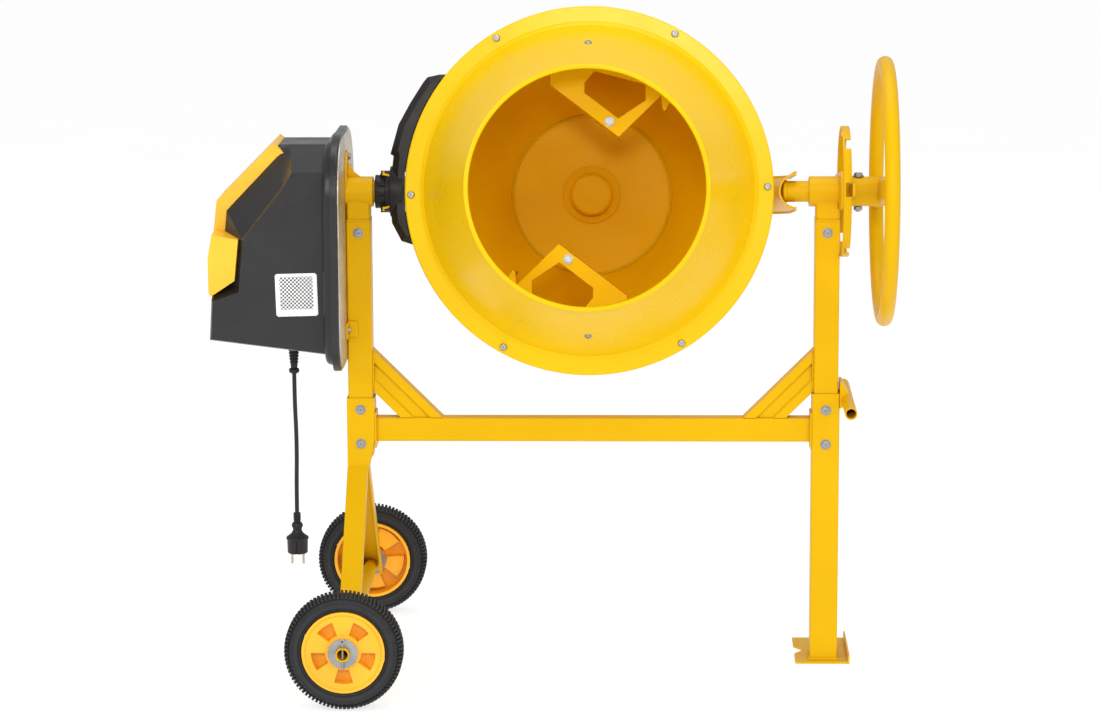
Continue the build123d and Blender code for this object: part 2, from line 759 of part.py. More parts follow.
def route_radii(points):
    """The largest arc at each inner point: 0.45 of the shorter run over the tangent of half the turn."""
    radii = []
    for before, here, after in zip(points, points[1:], points[2:]):
        run_in = Vector(*here) - Vector(*before)
        run_out = Vector(*after) - Vector(*here)
        turn = radians(run_in.get_angle(run_out))
        radii.append(0.45 * min(run_in.length, run_out.length) / tan(turn / 2))
    return radii


cord_radii = route_radii(cord_route)
print("cord radii (mm):", [round(r) for r in cord_radii])
with BuildPart() as power_cord:
    with BuildLine():
        cord_line = FilletPolyline(*cord_route, radius=cord_radii)
    cord_start = Plane(cord_route[0], z_dir=Vector(*cord_route[1]) - Vector(*cord_route[0]))
    with BuildSketch(cord_start):
        Circle(cord_d / 2)
    sweep()
cord_expected = pi * (cord_d / 2) ** 2 * cord_line.length
print(f"cord length {cord_line.length:.1f} mm, volume {power_cord.part.volume:.0f} of {cord_expected:.0f}")
finish(power_cord.part, "power_cord")

plug_x = cord_route[-1][0]
plug_y = cord_route[-1][1]
with BuildPart() as power_plug:
    with BuildSketch(Plane((0, plug_y, 0), x_dir=(1, 0, 0), z_dir=(0, -1, 0))):
        with BuildLine():
            Polyline((plug_x, plug_top), (plug_x + 5, plug_top), (plug_x + 5.5, 228), (plug_x + 8, 226))
            Spline((plug_x + 8, 226), (plug_x + 9, 216), (plug_x + 17, 204), tangents=((0.3, -1), (1, -0.9)))
            Polyline((plug_x + 17, 204), (plug_x + 18.5, 200), (plug_x + 18.5, 177), (plug_x, 177),
                     (plug_x, plug_top))
        make_face()
    revolve(axis=Axis((plug_x, plug_y, 0), (0, 0, 1)))
    for rib_z in (231, 236, 241):
        with BuildSketch(Plane.XY.offset(rib_z)):
            with Locations((plug_x, plug_y)):
                Circle(6.8)
        extrude(amount=2.4)
    for side in (-1, 1):
        with BuildSketch(Plane.XY.offset(176)):
            with Locations((plug_x + side * 18, plug_y)):
                Rectangle(7, 12)
        extrude(amount=20, mode=Mode.SUBTRACT)
finish(power_plug.part, "power_plug")

with BuildPart() as plug_pins:
    with BuildSketch(Plane.XY.offset(158)):
        with Locations((plug_x - 9.5, plug_y), (plug_x + 9.5, plug_y)):
            Circle(2.4)
    extrude(amount=19)
    fillet(plug_pins.edges().group_by(Axis.Z)[0], 1.5)
finish(plug_pins.part, "plug_pins")

# ------------------------------------------------------------------ drum yoke and its pivots
arm_end = 26.0
yoke_path_points = [(-yoke_half, arm_end), (-yoke_half, yoke_back), (yoke_half, yoke_back),
                    (yoke_half, arm_end)]
with BuildPart() as yoke:
    with BuildLine(drum_profile):
        FilletPolyline(*yoke_path_points, radius=yoke_corner)
    with BuildSketch(Plane(drum_origin + Vector(-yoke_half, 0, 0) + drum_dir * arm_end,
                           x_dir=(1, 0, 0), z_dir=drum_dir * -1)):
        Circle(channel_r)
        Circle(channel_r - channel_wall, mode=Mode.SUBTRACT)
        with Locations((-channel_r, 0)):
            Rectangle(2 * channel_r, 3 * channel_r, mode=Mode.SUBTRACT)
        with Locations((1.5, channel_r + 0.5), (1.5, -channel_r - 0.5)):
            Rectangle(3, 5)
    sweep()
    add(ring(0, pivot_r + 0.1, drum_x - yoke_half - 4, 20), mode=Mode.SUBTRACT)
    add(ring(0, pinion_shaft_r + 3, drum_x - yoke_half, 40), mode=Mode.SUBTRACT)
    with BuildSketch(drum_plane(yoke_back + 10)):
        Circle(12.6)
    extrude(amount=30, mode=Mode.SUBTRACT)
finish(yoke.part, "yoke")

shaft_end = drum_x + 456.0
bolt_x = drum_x + 434.5
pull_in = 8.0
pull_out = 4.0
with BuildPart() as yoke_shaft:
    add(ring(0, shaft_r, drum_x + 315, shaft_end - drum_x - 315))
    add(ring(0, 12.5, drum_x + 420, 40), mode=Mode.SUBTRACT)
    add(ring(0, 13.5, shaft_end - 4, 6))
    with BuildSketch(Plane.XY.offset(axis_z - 20)):
        with Locations((bolt_x - (pull_in - pull_out) / 2, 0)):
            SlotOverall(pull_in + pull_out + 2 * bolt_r + 1.2, 2 * bolt_r + 0.6)
    extrude(amount=40, mode=Mode.SUBTRACT)
    split(bisect_by=across_x(shaft_end), keep=Keep.BOTTOM)
finish(yoke_shaft.part, "yoke_shaft")

pivot_left = drum_x - 404.0
pivot_right = drum_x - 316.0
with BuildPart() as pivot_tube:
    add(ring(14, pivot_r, pivot_left, pivot_right - pivot_left))
finish(pivot_tube.part, "pivot_tube")

with BuildPart() as pinion_bushes:
    add(ring(pinion_shaft_r + running, 13.95, pivot_left + 1, 18))
    add(ring(pinion_shaft_r + running, 13.95, pivot_right - 19, 18))
finish(pinion_bushes.part, "pinion_bushes")

guard_wall = 3.0
guard_front = 36.0
guard_step = 22.0
guard_rear = -34.0
guard_outline = [(-200, 188.3), (-242, 188.3), (-261.4, 184), (-267.9, 176.3), (-288.9, 143.3),
                 (-308.3, 107.9), (-321.5, 60), (-316.5, 57), (-319, 33), (-320.5, -34),
                 (-318.9, -51.6), (-303.5, -80.7), (-285.7, -86.3), (-230, -69)]


def guard_solid(inset):
    """The gear guard as a full block, shrunk by inset, with its front edge drawn in."""
    with BuildPart() as body:
        with BuildSketch(drum_plane(guard_rear + inset)) as outline:
            with BuildLine():
                Polyline(*guard_outline, close=True)
            make_face()
            if inset:
                offset(amount=-inset, kind=Kind.INTERSECTION, mode=Mode.REPLACE)
        extrude(amount=guard_step - guard_rear - inset)
        extrude(body.faces().sort_by(drum_axis)[-1], amount=guard_front - guard_step - inset, taper=38)
    return body.part


with BuildPart() as gear_guard:
    add(guard_solid(0))
    add(guard_solid(guard_wall), mode=Mode.SUBTRACT)
    with BuildSketch(drum_plane(guard_rear - 5)):
        Circle(270)
    extrude(amount=80, mode=Mode.SUBTRACT)
    with BuildSketch(drum_plane(guard_rear + guard_wall)):
        Circle(298.6)
    extrude(amount=80, mode=Mode.SUBTRACT)
    add(ring(0, 33, drum_x - 329, 12))
    add(ring(0, 26.5, drum_x - 347, 18.5))
    with BuildSketch(tilted_x(drum_x - yoke_half - 0.6)):
        with Locations((60, 0)):
            Rectangle(2 * (60 + arm_end) + 1.2, 2 * (channel_r + 3.4))
    extrude(amount=80, mode=Mode.SUBTRACT)
    add(ring(0, pivot_r + 0.4, drum_x - 360, 40), mode=Mode.SUBTRACT)
finish(gear_guard.part, "gear_guard")

spindle_r = 12.5
spindle_front = -206.0
with BuildPart() as drum_spindle:
    with BuildSketch(drum_plane(yoke_back + 4)):
        RegularPolygon(17, 6)
    extrude(amount=12)
    with BuildSketch(drum_plane(yoke_back + 4)):
        Circle(spindle_r)
    extrude(amount=spindle_front - yoke_back - 4)
    with BuildSketch(drum_plane(yoke_back + channel_r + 0.2)):
        Circle(20)
    extrude(amount=8)
finish(drum_spindle.part, "drum_spindle")

# ------------------------------------------------------------------ drum
outer_cone_r = 268.0
boss_r = 48.0
boss_front = -212.0
dome_r = 35.0


def drum_turn(points, radii=0):
    """A closed profile in (radius, height), with its corner radii, turned once round the drum axis."""
    with BuildPart() as body:
        with BuildSketch(drum_profile):
            with BuildLine():
                if radii:
                    FilletPolyline(*points, radius=radii, close=True)
                else:
                    Polyline(*points, close=True)
            make_face()
        revolve(axis=drum_axis)
    return body.part


def cavity(inset):
    """The room inside the drum, from the bottom plate to the lip, shrunk by inset."""
    return drum_turn([(0, bottom_a + sheet + inset), (bottom_r - 1 - inset, bottom_a + sheet + inset),
                      (belt_line_r - sheet - inset, -69.3), (belt_line_r - sheet - inset, flange_a + 2),
                      (outer_cone_r - 3 * sheet - inset, flange_a + 4), (lip_r - 5 - inset, lip_a - 6),
                      (0, lip_a - 6)],
                     [0, bend_r / 2, bend_r, 0, 0, 0, 0])


flange_screws = 6
screw_circle = 287.0
screw_start = 1.3
screw_r = 3.0


def flange_spots(a):
    """The places of the flange screws in the plane a millimetres towards the mouth."""
    spots = []
    for screw in range(flange_screws):
        place = polar(screw_circle, screw_start + screw * 360 / flange_screws)
        spots.append(Plane(drum_plane(a).from_local_coords((*place, 0)), x_dir=(1, 0, 0), z_dir=drum_dir))
    return spots


def flange_holes():
    """The rods that, taken away, leave the screw holes in both flanges."""
    with BuildPart() as body:
        for spot in flange_spots(flange_a - 20):
            with BuildSketch(spot):
                Circle(screw_r + 0.2)
            extrude(amount=40)
    return body.part


with BuildPart() as drum_rear_shell:
    add(drum_turn([(dome_r, bottom_a), (bottom_r, bottom_a), (belt_line_r, -70),
                   (belt_line_r, flange_a - sheet), (flange_r - 3.5, flange_a - sheet),
                   (flange_r - 3.5, flange_a - 0.05), (belt_line_r - sheet, flange_a - 0.05),
                   (belt_line_r - sheet, -69.3), (bottom_r - 1, bottom_a + sheet),
                   (dome_r, bottom_a + sheet)],
                  [0, bend_r / 2, bend_r, 0, 0, 0, 0, bend_r - sheet, bend_r / 2 - sheet, 0]))
    add(flange_holes(), mode=Mode.SUBTRACT)
finish(drum_rear_shell.part, "drum_rear_shell")

step_r = 270.0
with BuildPart() as drum_front_cone:
    with BuildSketch(drum_profile):
        with BuildLine():
            Polyline((flange_r, flange_a - 5), (flange_r, flange_a + 1), (flange_r - 2, flange_a + 3),
                     (step_r + 3, flange_a + 3), (step_r, flange_a + 5), (outer_cone_r - 2, flange_a + 8),
                     (lip_r, lip_a - 4), (lip_r + 3.2, lip_a - 6), (lip_r + 5.2, lip_a - 3.5),
                     (lip_r + 4.4, lip_a - 0.8),
                     (lip_r + 1.2, lip_a), (lip_r - 2.2, lip_a - 1.6), (lip_r - 3.0, lip_a - 5),
                     (outer_cone_r - 5.2, flange_a + 8), (step_r - 4, flange_a + 0.1),
                     (flange_r - 3, flange_a + 0.1), (flange_r - 3, flange_a - 5), close=True)
        make_face()
    revolve(axis=drum_axis)
    add(flange_holes(), mode=Mode.SUBTRACT)
finish(drum_front_cone.part, "drum_front_cone")

with BuildPart() as drum_hub:
    add(drum_turn([(22.05, bottom_a - 16), (dome_r - 0.1, bottom_a - 16),
                   (dome_r - 0.1, bottom_a + sheet + 0.2),
                   (boss_r, bottom_a + sheet + 0.2), (boss_r, bottom_a + sheet + 4), (dome_r, bottom_a + sheet + 6),
                   (dome_r, boss_front + 6), (dome_r - 4, boss_front + 10), (0, boss_front + 12),
                   (0, boss_front + 8), (22.05, boss_front + 6)]))
finish(drum_hub.part, "drum_hub")

with BuildPart() as drum_bearings:
    for low in (bottom_a - 15, boss_front - 10):
        add(drum_turn([(spindle_r + running, low), (22, low), (22, low + 14),
                       (spindle_r + running, low + 14)]))
finish(drum_bearings.part, "drum_bearings")

ring_in = 264.5
ring_out = 280.5
ring_back = flange_a - sheet - 0.05
pitch_a = pinion_pitch_r
root_a = pitch_a + dedendum
with BuildPart() as ring_gear:
    add(drum_turn([(ring_in, root_a), (ring_out, root_a), (ring_out, ring_back), (ring_in, ring_back)]))
    half_pitch = tooth_pitch * tooth_share / 2
    slant = tan(radians(pressure_angle))
    tip_half = half_pitch - addendum * slant
    root_half = half_pitch + (dedendum + 0.5) * slant * 0.9
    for tooth in range(ring_teeth):
        turn = 180 + tooth * 360 / ring_teeth
        radial = Vector(cos(radians(turn)), 0, 0) + Vector(0, sin(lean), cos(lean)) * sin(radians(turn))
        base = drum_origin + radial * (ring_in + 0.3) + drum_dir * pitch_a
        with BuildSketch(Plane(base, x_dir=radial.cross(drum_dir) * -1, z_dir=radial)):
            with BuildLine():
                Polyline((-root_half, dedendum + 0.5), (-tip_half, -addendum), (tip_half, -addendum),
                         (root_half, dedendum + 0.5), close=True)
            make_face()
    extrude(amount=ring_out - ring_in - 0.6)
finish(ring_gear.part, "ring_gear")

# ------------------------------------------------------------------ mixing paddles
paddle_a = 70.0
paddle_thick = 4.0


def paddle(turn):
    """A windowed plate across the drum with two legs running back to the rear shell."""
    spin = Plane(drum_origin + drum_dir * paddle_a,
                 x_dir=Vector(1, 0, 0).rotate(Axis((0, 0, 0), drum_dir), turn), z_dir=drum_dir)
    corner = (48, 85.5)
    with BuildPart() as body:
        with BuildSketch(spin):
            with BuildLine():
                Polyline((-62, 169), corner, (116, 152), (185, 225), (60, 285), (-62, 285), close=True)
            make_face()
            with BuildLine():
                Polyline((9, 191), (-7, 172), (-7, 156), (47, 115), (91, 144), (91, 169), close=True)
            make_face(mode=Mode.SUBTRACT)
            with Locations((33, 110)):
                Circle(3.2, mode=Mode.SUBTRACT)
        extrude(amount=-paddle_thick)
        with BuildSketch(spin):
            with BuildLine():
                Polyline((-62, 169), corner, (46.5, 90.5), (-62, 174), close=True)
            make_face()
            with BuildLine():
                Polyline((-62, 169), (-62, 285), (-58, 285), (-58, 169), close=True)
            make_face()
        extrude(amount=-150)
        with BuildSketch(spin):
            with BuildLine():
                Polyline((118, 130), (122, 127), (158, 186), (154, 189), close=True)
            make_face()
            with BuildLine():
                Polyline((154, 189), (158, 186), (186, 180), (186, 184), close=True)
            make_face()
        extrude(amount=-170)
        with BuildSketch(spin):
            with BuildLine():
                Polyline((116, 152), (118, 130), (158, 186), (185, 225), close=True)
            make_face()
        extrude(amount=-paddle_thick)
        add(cavity(0.4), mode=Mode.INTERSECT)
    return body.part


for paddle_name, paddle_turn in (("upper_paddle", 0), ("lower_paddle", 180)):
    with BuildPart() as paddle_piece:
        add(paddle(paddle_turn))
    finish(paddle_piece.part, paddle_name)

with BuildPart() as drum_screws:
    for spot in flange_spots(flange_a + 3.05):
        with Locations(spot.location):
            add(fastener(3.05 + sheet + 0.1, shank=screw_r, head=5.8, head_height=4, dome=True))
    for paddle_turn in (0, 180):
        hole = Vector(33, 110, 0).rotate(Axis.Z, paddle_turn)
        spot = drum_plane(paddle_a + 0.05).from_local_coords((hole.X, hole.Y, 0))
        with Locations(Plane(spot, x_dir=(1, 0, 0), z_dir=drum_dir).location):
            add(fastener(paddle_thick + 0.1, shank=screw_r, head=6, head_height=4))
finish(drum_screws.part, "drum_screws")

# ------------------------------------------------------------------ pinion and its shaft
pinion_x = (drum_x - 280.5, drum_x - 265.5)


def involute(radius, base):
    """The polar angle, in degrees, that an involute from the base circle has turned at a radius."""
    roll = sqrt(max((radius / base) ** 2 - 1, 0))
    return degrees(roll - atan2(roll, 1))


with BuildPart() as pinion:
    base_r = pinion_pitch_r * cos(radians(pressure_angle))
    tip_r = pinion_pitch_r + addendum
    root_r = pinion_pitch_r - dedendum
    half_tooth = degrees(tooth_pitch * tooth_share / 2 / pinion_pitch_r)
    base_half = half_tooth + involute(pinion_pitch_r, base_r)
    tip_at = base_half - involute(tip_r, base_r)
    mid_r = (base_r + tip_r) / 2
    mid_at = base_half - involute(mid_r, base_r)
    with BuildSketch(tilted_x(pinion_x[0])):
        Circle(root_r)
        for tooth in range(pinion_teeth):
            middle = (tooth + 0.5) * 360 / pinion_teeth
            with BuildLine():
                Line(polar(root_r - 1, middle - base_half), polar(base_r, middle - base_half))
                ThreePointArc(polar(base_r, middle - base_half), polar(mid_r, middle - mid_at),
                              polar(tip_r, middle - tip_at))
                Line(polar(tip_r, middle - tip_at), polar(tip_r, middle + tip_at))
                ThreePointArc(polar(tip_r, middle + tip_at), polar(mid_r, middle + mid_at),
                              polar(base_r, middle + base_half))
                Line(polar(base_r, middle + base_half), polar(root_r - 1, middle + base_half))
                Line(polar(root_r - 1, middle + base_half), polar(root_r - 1, middle - base_half))
            make_face()
        Circle(pinion_shaft_r + 0.02, mode=Mode.SUBTRACT)
    extrude(amount=pinion_x[1] - pinion_x[0])
finish(pinion.part, "pinion")

with BuildPart() as pinion_shaft:
    add(ring(0, pinion_shaft_r, drum_x - 440, 440 - 265.8))
finish(pinion_shaft.part, "pinion_shaft")

# ------------------------------------------------------------------ handwheel with its lock
hub_x = drum_x + 424.0
lock_x = ring_x + index_width / 2 + lock_clear
with BuildPart() as handwheel:
    with BuildSketch(tilted_x(lock_x)):
        RectangleRounded(2 * (index_r + 7), 20, 3)
        Circle(24)
    extrude(amount=hub_x - lock_x)
    with BuildSketch(Plane((rim_x, 0, axis_z + hand_r), x_dir=(1, 0, 0), z_dir=(0, -1, 0))):
        Circle(hand_tube)
    revolve(axis=Axis((rim_x, 0, axis_z), (1, 0, 0)))
    with BuildSketch(Plane(Vector(rim_x, 0, axis_z) + drum_dir * (hand_r - 4),
                           x_dir=(1, 0, 0), z_dir=drum_dir * -1)):
        RectangleRounded(22, 46, 10.9)
    extrude(amount=2 * (hand_r - 4))
    add(ring(0, 24, hub_x, rim_x - hub_x))
    add(ring(0, shaft_r + running, lock_x - 1, shaft_end + pull_in + 2 - lock_x), mode=Mode.SUBTRACT)
    with BuildSketch(Plane.XY.offset(axis_z - 40)):
        with Locations((bolt_x, 0)):
            Circle(hole_r)
    extrude(amount=80, mode=Mode.SUBTRACT)
finish(handwheel.part, "handwheel")

with BuildPart() as handwheel_bolt:
    with Locations(Plane((bolt_x, 0, axis_z + 24.6), x_dir=(1, 0, 0), z_dir=(0, 0, 1)).location):
        add(fastener(49.2, head=7, head_height=5.5))
finish(handwheel_bolt.part, "handwheel_bolt")

with BuildPart() as lock_spring:
    spring_x = bolt_x + bolt_r + 0.4
    spring_length = shaft_end - 4.4 - spring_x
    for coil in range(4):
        coil_x = spring_x + 1.2 + coil * (spring_length - 2.4) / 3
        with BuildSketch(Plane((coil_x, 0, axis_z + 9), x_dir=(1, 0, 0), z_dir=(0, -1, 0))):
            Circle(1.1)
    revolve(axis=Axis((spring_x, 0, axis_z), (1, 0, 0)))
finish(lock_spring.part, "lock_spring")

# ------------------------------------------------------------------ wheels
tyre_in = rim_r - 1.0
rim_windows = 5
pocket_depth = 22.0


def wheel_plane(side):
    """The plane through a wheel's centre that holds the axle; its own y runs out along the axle."""
    return Plane((wheel_x, side * wheel_y, wheel_r), x_dir=(1, 0, 0), z_dir=(0, 0, side))


def wheel_disc(side):
    """The face plane of a wheel at its outer side."""
    face_y = side * (wheel_y + wheel_width / 2 - 4)
    return Plane((wheel_x, face_y, wheel_r), x_dir=(-side, 0, 0), z_dir=(0, side, 0))


def sector_face(side, inner, outer, spread, turn):
    """A ring sector on a wheel's outer face, opened by an angle each way from its middle."""
    with BuildSketch(wheel_disc(side)) as sector:
        with BuildLine():
            Line(polar(inner, turn - spread), polar(outer, turn - spread))
            ThreePointArc(polar(outer, turn - spread), polar(outer, turn), polar(outer, turn + spread))
            Line(polar(outer, turn + spread), polar(inner, turn + spread))
            ThreePointArc(polar(inner, turn + spread), polar(inner, turn), polar(inner, turn - spread))
        make_face()
    return sector.sketch


for wheel_name, wheel_side in (("front", -1), ("rear", 1)):
    half = wheel_width / 2
    with BuildPart() as tyre:
        with BuildSketch(wheel_plane(wheel_side)):
            with BuildLine():
                Polyline((tyre_in, -half + 3), (tyre_in + 2, -half), (wheel_r - 16, -half),
                         (wheel_r - 4, -half + 4),
                         (wheel_r, -half + 10), (wheel_r, half - 10), (wheel_r - 4, half - 4),
                         (wheel_r - 16, half), (tyre_in + 2, half), (tyre_in, half - 3), close=True)
            make_face()
        revolve(axis=Axis((wheel_x, 0, wheel_r), (0, 1, 0)))
    finish(tyre.part, f"{wheel_name}_tyre")

    with BuildPart() as wheel_rim:
        with BuildSketch(wheel_plane(wheel_side)):
            with BuildLine():
                Polyline((axle_r + running, -half - 0.6), (20, -half - 0.6), (20, half - 8),
                         (tyre_in - 5, half - 8),
                         (tyre_in - 5, -half + 1), (tyre_in - 0.1, -half + 1), (tyre_in - 0.1, half - 1),
                         (tyre_in - 4, half - 1), (tyre_in - 7, half - 4), (26, half - 4), (23, half + 1),
                         (axle_r + running, half + 1), close=True)
            make_face()
        revolve(axis=Axis((wheel_x, 0, wheel_r), (0, 1, 0)))
        for window in range(rim_windows):
            turn = -90 + 360 / rim_windows * window
            backing = sector_face(wheel_side, 24, 54, 22, turn)
            extrude(backing, amount=-pocket_depth)
        for window in range(rim_windows):
            turn = -90 + 360 / rim_windows * window
            opening = sector_face(wheel_side, 28.5, 51, 17, turn)
            extrude(opening, amount=3 - pocket_depth, mode=Mode.SUBTRACT)
    finish(wheel_rim.part, f"{wheel_name}_wheel_rim")
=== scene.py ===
import json
import math
import random

import bmesh
import bpy
from mathutils import Matrix, Vector
from mathutils.bvhtree import BVHTree


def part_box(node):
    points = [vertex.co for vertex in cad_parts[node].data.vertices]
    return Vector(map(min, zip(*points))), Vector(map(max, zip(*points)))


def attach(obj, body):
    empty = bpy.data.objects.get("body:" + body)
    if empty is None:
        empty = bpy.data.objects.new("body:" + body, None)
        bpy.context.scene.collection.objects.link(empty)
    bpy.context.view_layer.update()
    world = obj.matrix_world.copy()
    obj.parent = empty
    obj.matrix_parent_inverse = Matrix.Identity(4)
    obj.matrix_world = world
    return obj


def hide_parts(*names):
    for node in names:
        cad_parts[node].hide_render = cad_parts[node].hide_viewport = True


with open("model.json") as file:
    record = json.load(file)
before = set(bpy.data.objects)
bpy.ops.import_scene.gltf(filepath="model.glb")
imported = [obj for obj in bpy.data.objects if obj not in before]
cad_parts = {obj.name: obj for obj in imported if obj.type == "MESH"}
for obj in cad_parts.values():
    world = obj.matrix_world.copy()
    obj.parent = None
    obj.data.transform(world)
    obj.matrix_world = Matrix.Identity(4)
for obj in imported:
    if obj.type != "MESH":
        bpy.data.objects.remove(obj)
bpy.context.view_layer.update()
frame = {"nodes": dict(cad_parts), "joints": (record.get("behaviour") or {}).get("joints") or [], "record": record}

nodes = frame["nodes"]
scene = bpy.context.scene
random.seed(7)
MM = 0.001

# ------------------------------------------------------------------ places taken from the frame
joints = {joint["name"]: joint for joint in frame["joints"]}
tilt_point = Vector(joints["drum_tilt"]["pos_m"])
drum_dir = Vector(joints["drum_spin"]["axis"]).normalized()
across = Vector((1, 0, 0))
drum_up = drum_dir.cross(across)


def drum_point(x, up, along):
    """A point from drum measures in metres: across, up and towards the mouth from the tilt axis."""
    return tilt_point + across * x + drum_up * up + drum_dir * along


# ------------------------------------------------------------------ camera
def add_camera():
    """The photograph's viewing angle: a long lens, a little above the tilt axis, tipped down."""
    yaw = 0.0284
    pitch = 0.1892
    roll = 0.0043
    forward = Vector((-math.sin(yaw) * math.cos(pitch), math.cos(yaw) * math.cos(pitch), -math.sin(pitch)))
    level = Vector((math.cos(yaw), math.sin(yaw), 0))
    down = forward.cross(level)
    right = level * math.cos(roll) + down * math.sin(roll)
    up = -(down * math.cos(roll) - level * math.sin(roll))
    camera_data = bpy.data.cameras.new("camera")
    camera_data.sensor_width = 36.0
    camera_data.lens = 117.0
    camera_data.clip_end = 60.0
    camera = bpy.data.objects.new("camera", camera_data)
    camera.matrix_world = Matrix((right, up, -forward)).transposed().to_4x4()
    camera.location = tilt_point + Vector((0.0979, -5.7412, 0.8216))
    scene.collection.objects.link(camera)
    scene.camera = camera


add_camera()


# ------------------------------------------------------------------ material tools
def new_material(name):
    """An empty node material with its shader and output."""
    material = bpy.data.materials.new(name)
    material.use_nodes = True
    tree = material.node_tree
    tree.nodes.clear()
    shader = tree.nodes.new("ShaderNodeBsdfPrincipled")
    output = tree.nodes.new("ShaderNodeOutputMaterial")
    tree.links.new(shader.outputs["BSDF"], output.inputs["Surface"])
    return material, tree, shader


def noise(tree, scale, detail=4.0, rough=0.5, stretch=None):
    """Noise in object space, scale in cells per metre."""
    coords = tree.nodes.new("ShaderNodeTexCoord")
    texture = tree.nodes.new("ShaderNodeTexNoise")
    texture.inputs["Scale"].default_value = scale
    texture.inputs["Detail"].default_value = detail
    texture.inputs["Roughness"].default_value = rough
    source = coords.outputs["Object"]
    if stretch:
        mapping = tree.nodes.new("ShaderNodeMapping")
        mapping.inputs["Scale"].default_value = stretch
        tree.links.new(source, mapping.inputs["Vector"])
        source = mapping.outputs["Vector"]
    tree.links.new(source, texture.inputs["Vector"])
    return texture.outputs["Fac"]


def ramp(tree, value, stops):
    """A colour ramp of (position, grey or colour) stops."""
    node = tree.nodes.new("ShaderNodeValToRGB")
    elements = node.color_ramp.elements
    while len(elements) < len(stops):
        elements.new(0.5)
    for element, (position, colour) in zip(elements, stops):
        element.position = position
        if isinstance(colour, (int, float)):
            colour = (colour, colour, colour)
        element.color = (*colour, 1.0)
    tree.links.new(value, node.inputs["Fac"])
    return node.outputs["Color"]


def mix_colour(tree, factor, first, second, blend="MIX"):
    """Mixes two colours, each a socket or a plain colour, by a factor socket or number."""
    node = tree.nodes.new("ShaderNodeMix")
    node.data_type = "RGBA"
    node.blend_type = blend
    for index, value in ((6, first), (7, second)):
        if isinstance(value, tuple):
            node.inputs[index].default_value = (*value, 1.0)
        else:
            tree.links.new(value, node.inputs[index])
    if isinstance(factor, (int, float)):
        node.inputs[0].default_value = factor
    else:
        tree.links.new(factor, node.inputs[0])
    return node.outputs[2]


def bump(tree, shader, heights, rounding=0.0):
    """Stacks bumps, each (height socket, distance in metres), on a bevelled normal."""
    normal = None
    if rounding:
        bevel = tree.nodes.new("ShaderNodeBevel")
        bevel.samples = 4
        bevel.inputs["Radius"].default_value = rounding
        normal = bevel.outputs["Normal"]
    for height, distance in heights:
        node = tree.nodes.new("ShaderNodeBump")
        node.inputs["Strength"].default_value = 1.0
        node.inputs["Distance"].default_value = distance
        tree.links.new(height, node.inputs["Height"])
        if normal:
            tree.links.new(normal, node.inputs["Normal"])
        normal = node.outputs["Normal"]
    tree.links.new(normal, shader.inputs["Normal"])


def edge_mask(tree, radius=0.0012):
    """White on sharp edges: where a bevelled normal leaves the true one."""
    bevel = tree.nodes.new("ShaderNodeBevel")
    bevel.samples = 4
    bevel.inputs["Radius"].default_value = radius
    geometry = tree.nodes.new("ShaderNodeNewGeometry")
    dot = tree.nodes.new("ShaderNodeVectorMath")
    dot.operation = "DOT_PRODUCT"
    tree.links.new(bevel.outputs["Normal"], dot.inputs[0])
    tree.links.new(geometry.outputs["Normal"], dot.inputs[1])
    return ramp(tree, dot.outputs["Value"], [(0.86, 1.0), (0.995, 0.0)])


def corner_shade(tree, reach=0.02):
    """Ambient occlusion for painted shade: dark in corners and gaps, white in the open."""
    node = tree.nodes.new("ShaderNodeAmbientOcclusion")
    node.samples = 4
    node.inputs["Distance"].default_value = reach
    return node.outputs["AO"]


def paint(name, light, deep, roughness=0.36, peel=0.00006, coat=0.03, shine=0.24, rounding=0.0014):
    """Powder coat: orange peel, slow colour drift, dark specks, painted shade in the corners, and paler edges that
    are partly worn and partly a painted highlight.
    """
    material, tree, shader = new_material(name)
    drift = ramp(tree, noise(tree, 5.0, 3.0), [(0.35, 0.0), (0.7, 1.0)])
    base = mix_colour(tree, drift, light, tuple(c * 0.93 for c in light))
    # painted shade: corners and gaps darken towards the deep colour by ambient occlusion
    base = mix_colour(tree, ramp(tree, corner_shade(tree, 0.008), [(0.2, 0.8), (0.7, 0.0)]), base, deep)
    speck = ramp(tree, noise(tree, 260.0, 2.0, 0.7), [(0.70, 0.0), (0.78, 1.0)])
    base = mix_colour(tree, mask_times(tree, speck, 0.08), base, deep)
    # paler edges: partly a worn thin coat, partly a painted highlight where the edges catch the light
    edge_wear_and_highlight = mask_times(tree, edge_mask(tree), 0.22)
    base = mix_colour(tree, edge_wear_and_highlight, base, tuple(min(1.0, c * 1.12 + 0.012) for c in light))
    tree.links.new(base, shader.inputs["Base Color"])
    smear = noise(tree, 14.0, 6.0, 0.62)
    gloss = ramp(tree, smear, [(0.3, roughness - 0.06), (0.75, roughness + 0.12)])
    tree.links.new(gloss, shader.inputs["Roughness"])
    shader.inputs["Coat Weight"].default_value = coat
    shader.inputs["Coat Roughness"].default_value = 0.12
    shader.inputs["Specular IOR Level"].default_value = shine
    shader.inputs["Specular Tint"].default_value = (1.0, 0.78, 0.30, 1.0)
    bump(tree, shader, [(noise(tree, 420.0, 2.0), peel), (noise(tree, 30.0, 2.0), peel * 2.0)], rounding)
    return material


def mask_times(tree, mask, amount):
    """A mask made weaker."""
    node = tree.nodes.new("ShaderNodeMath")
    node.operation = "MULTIPLY"
    node.inputs[1].default_value = amount
    tree.links.new(mask, node.inputs[0])
    return node.outputs["Value"]


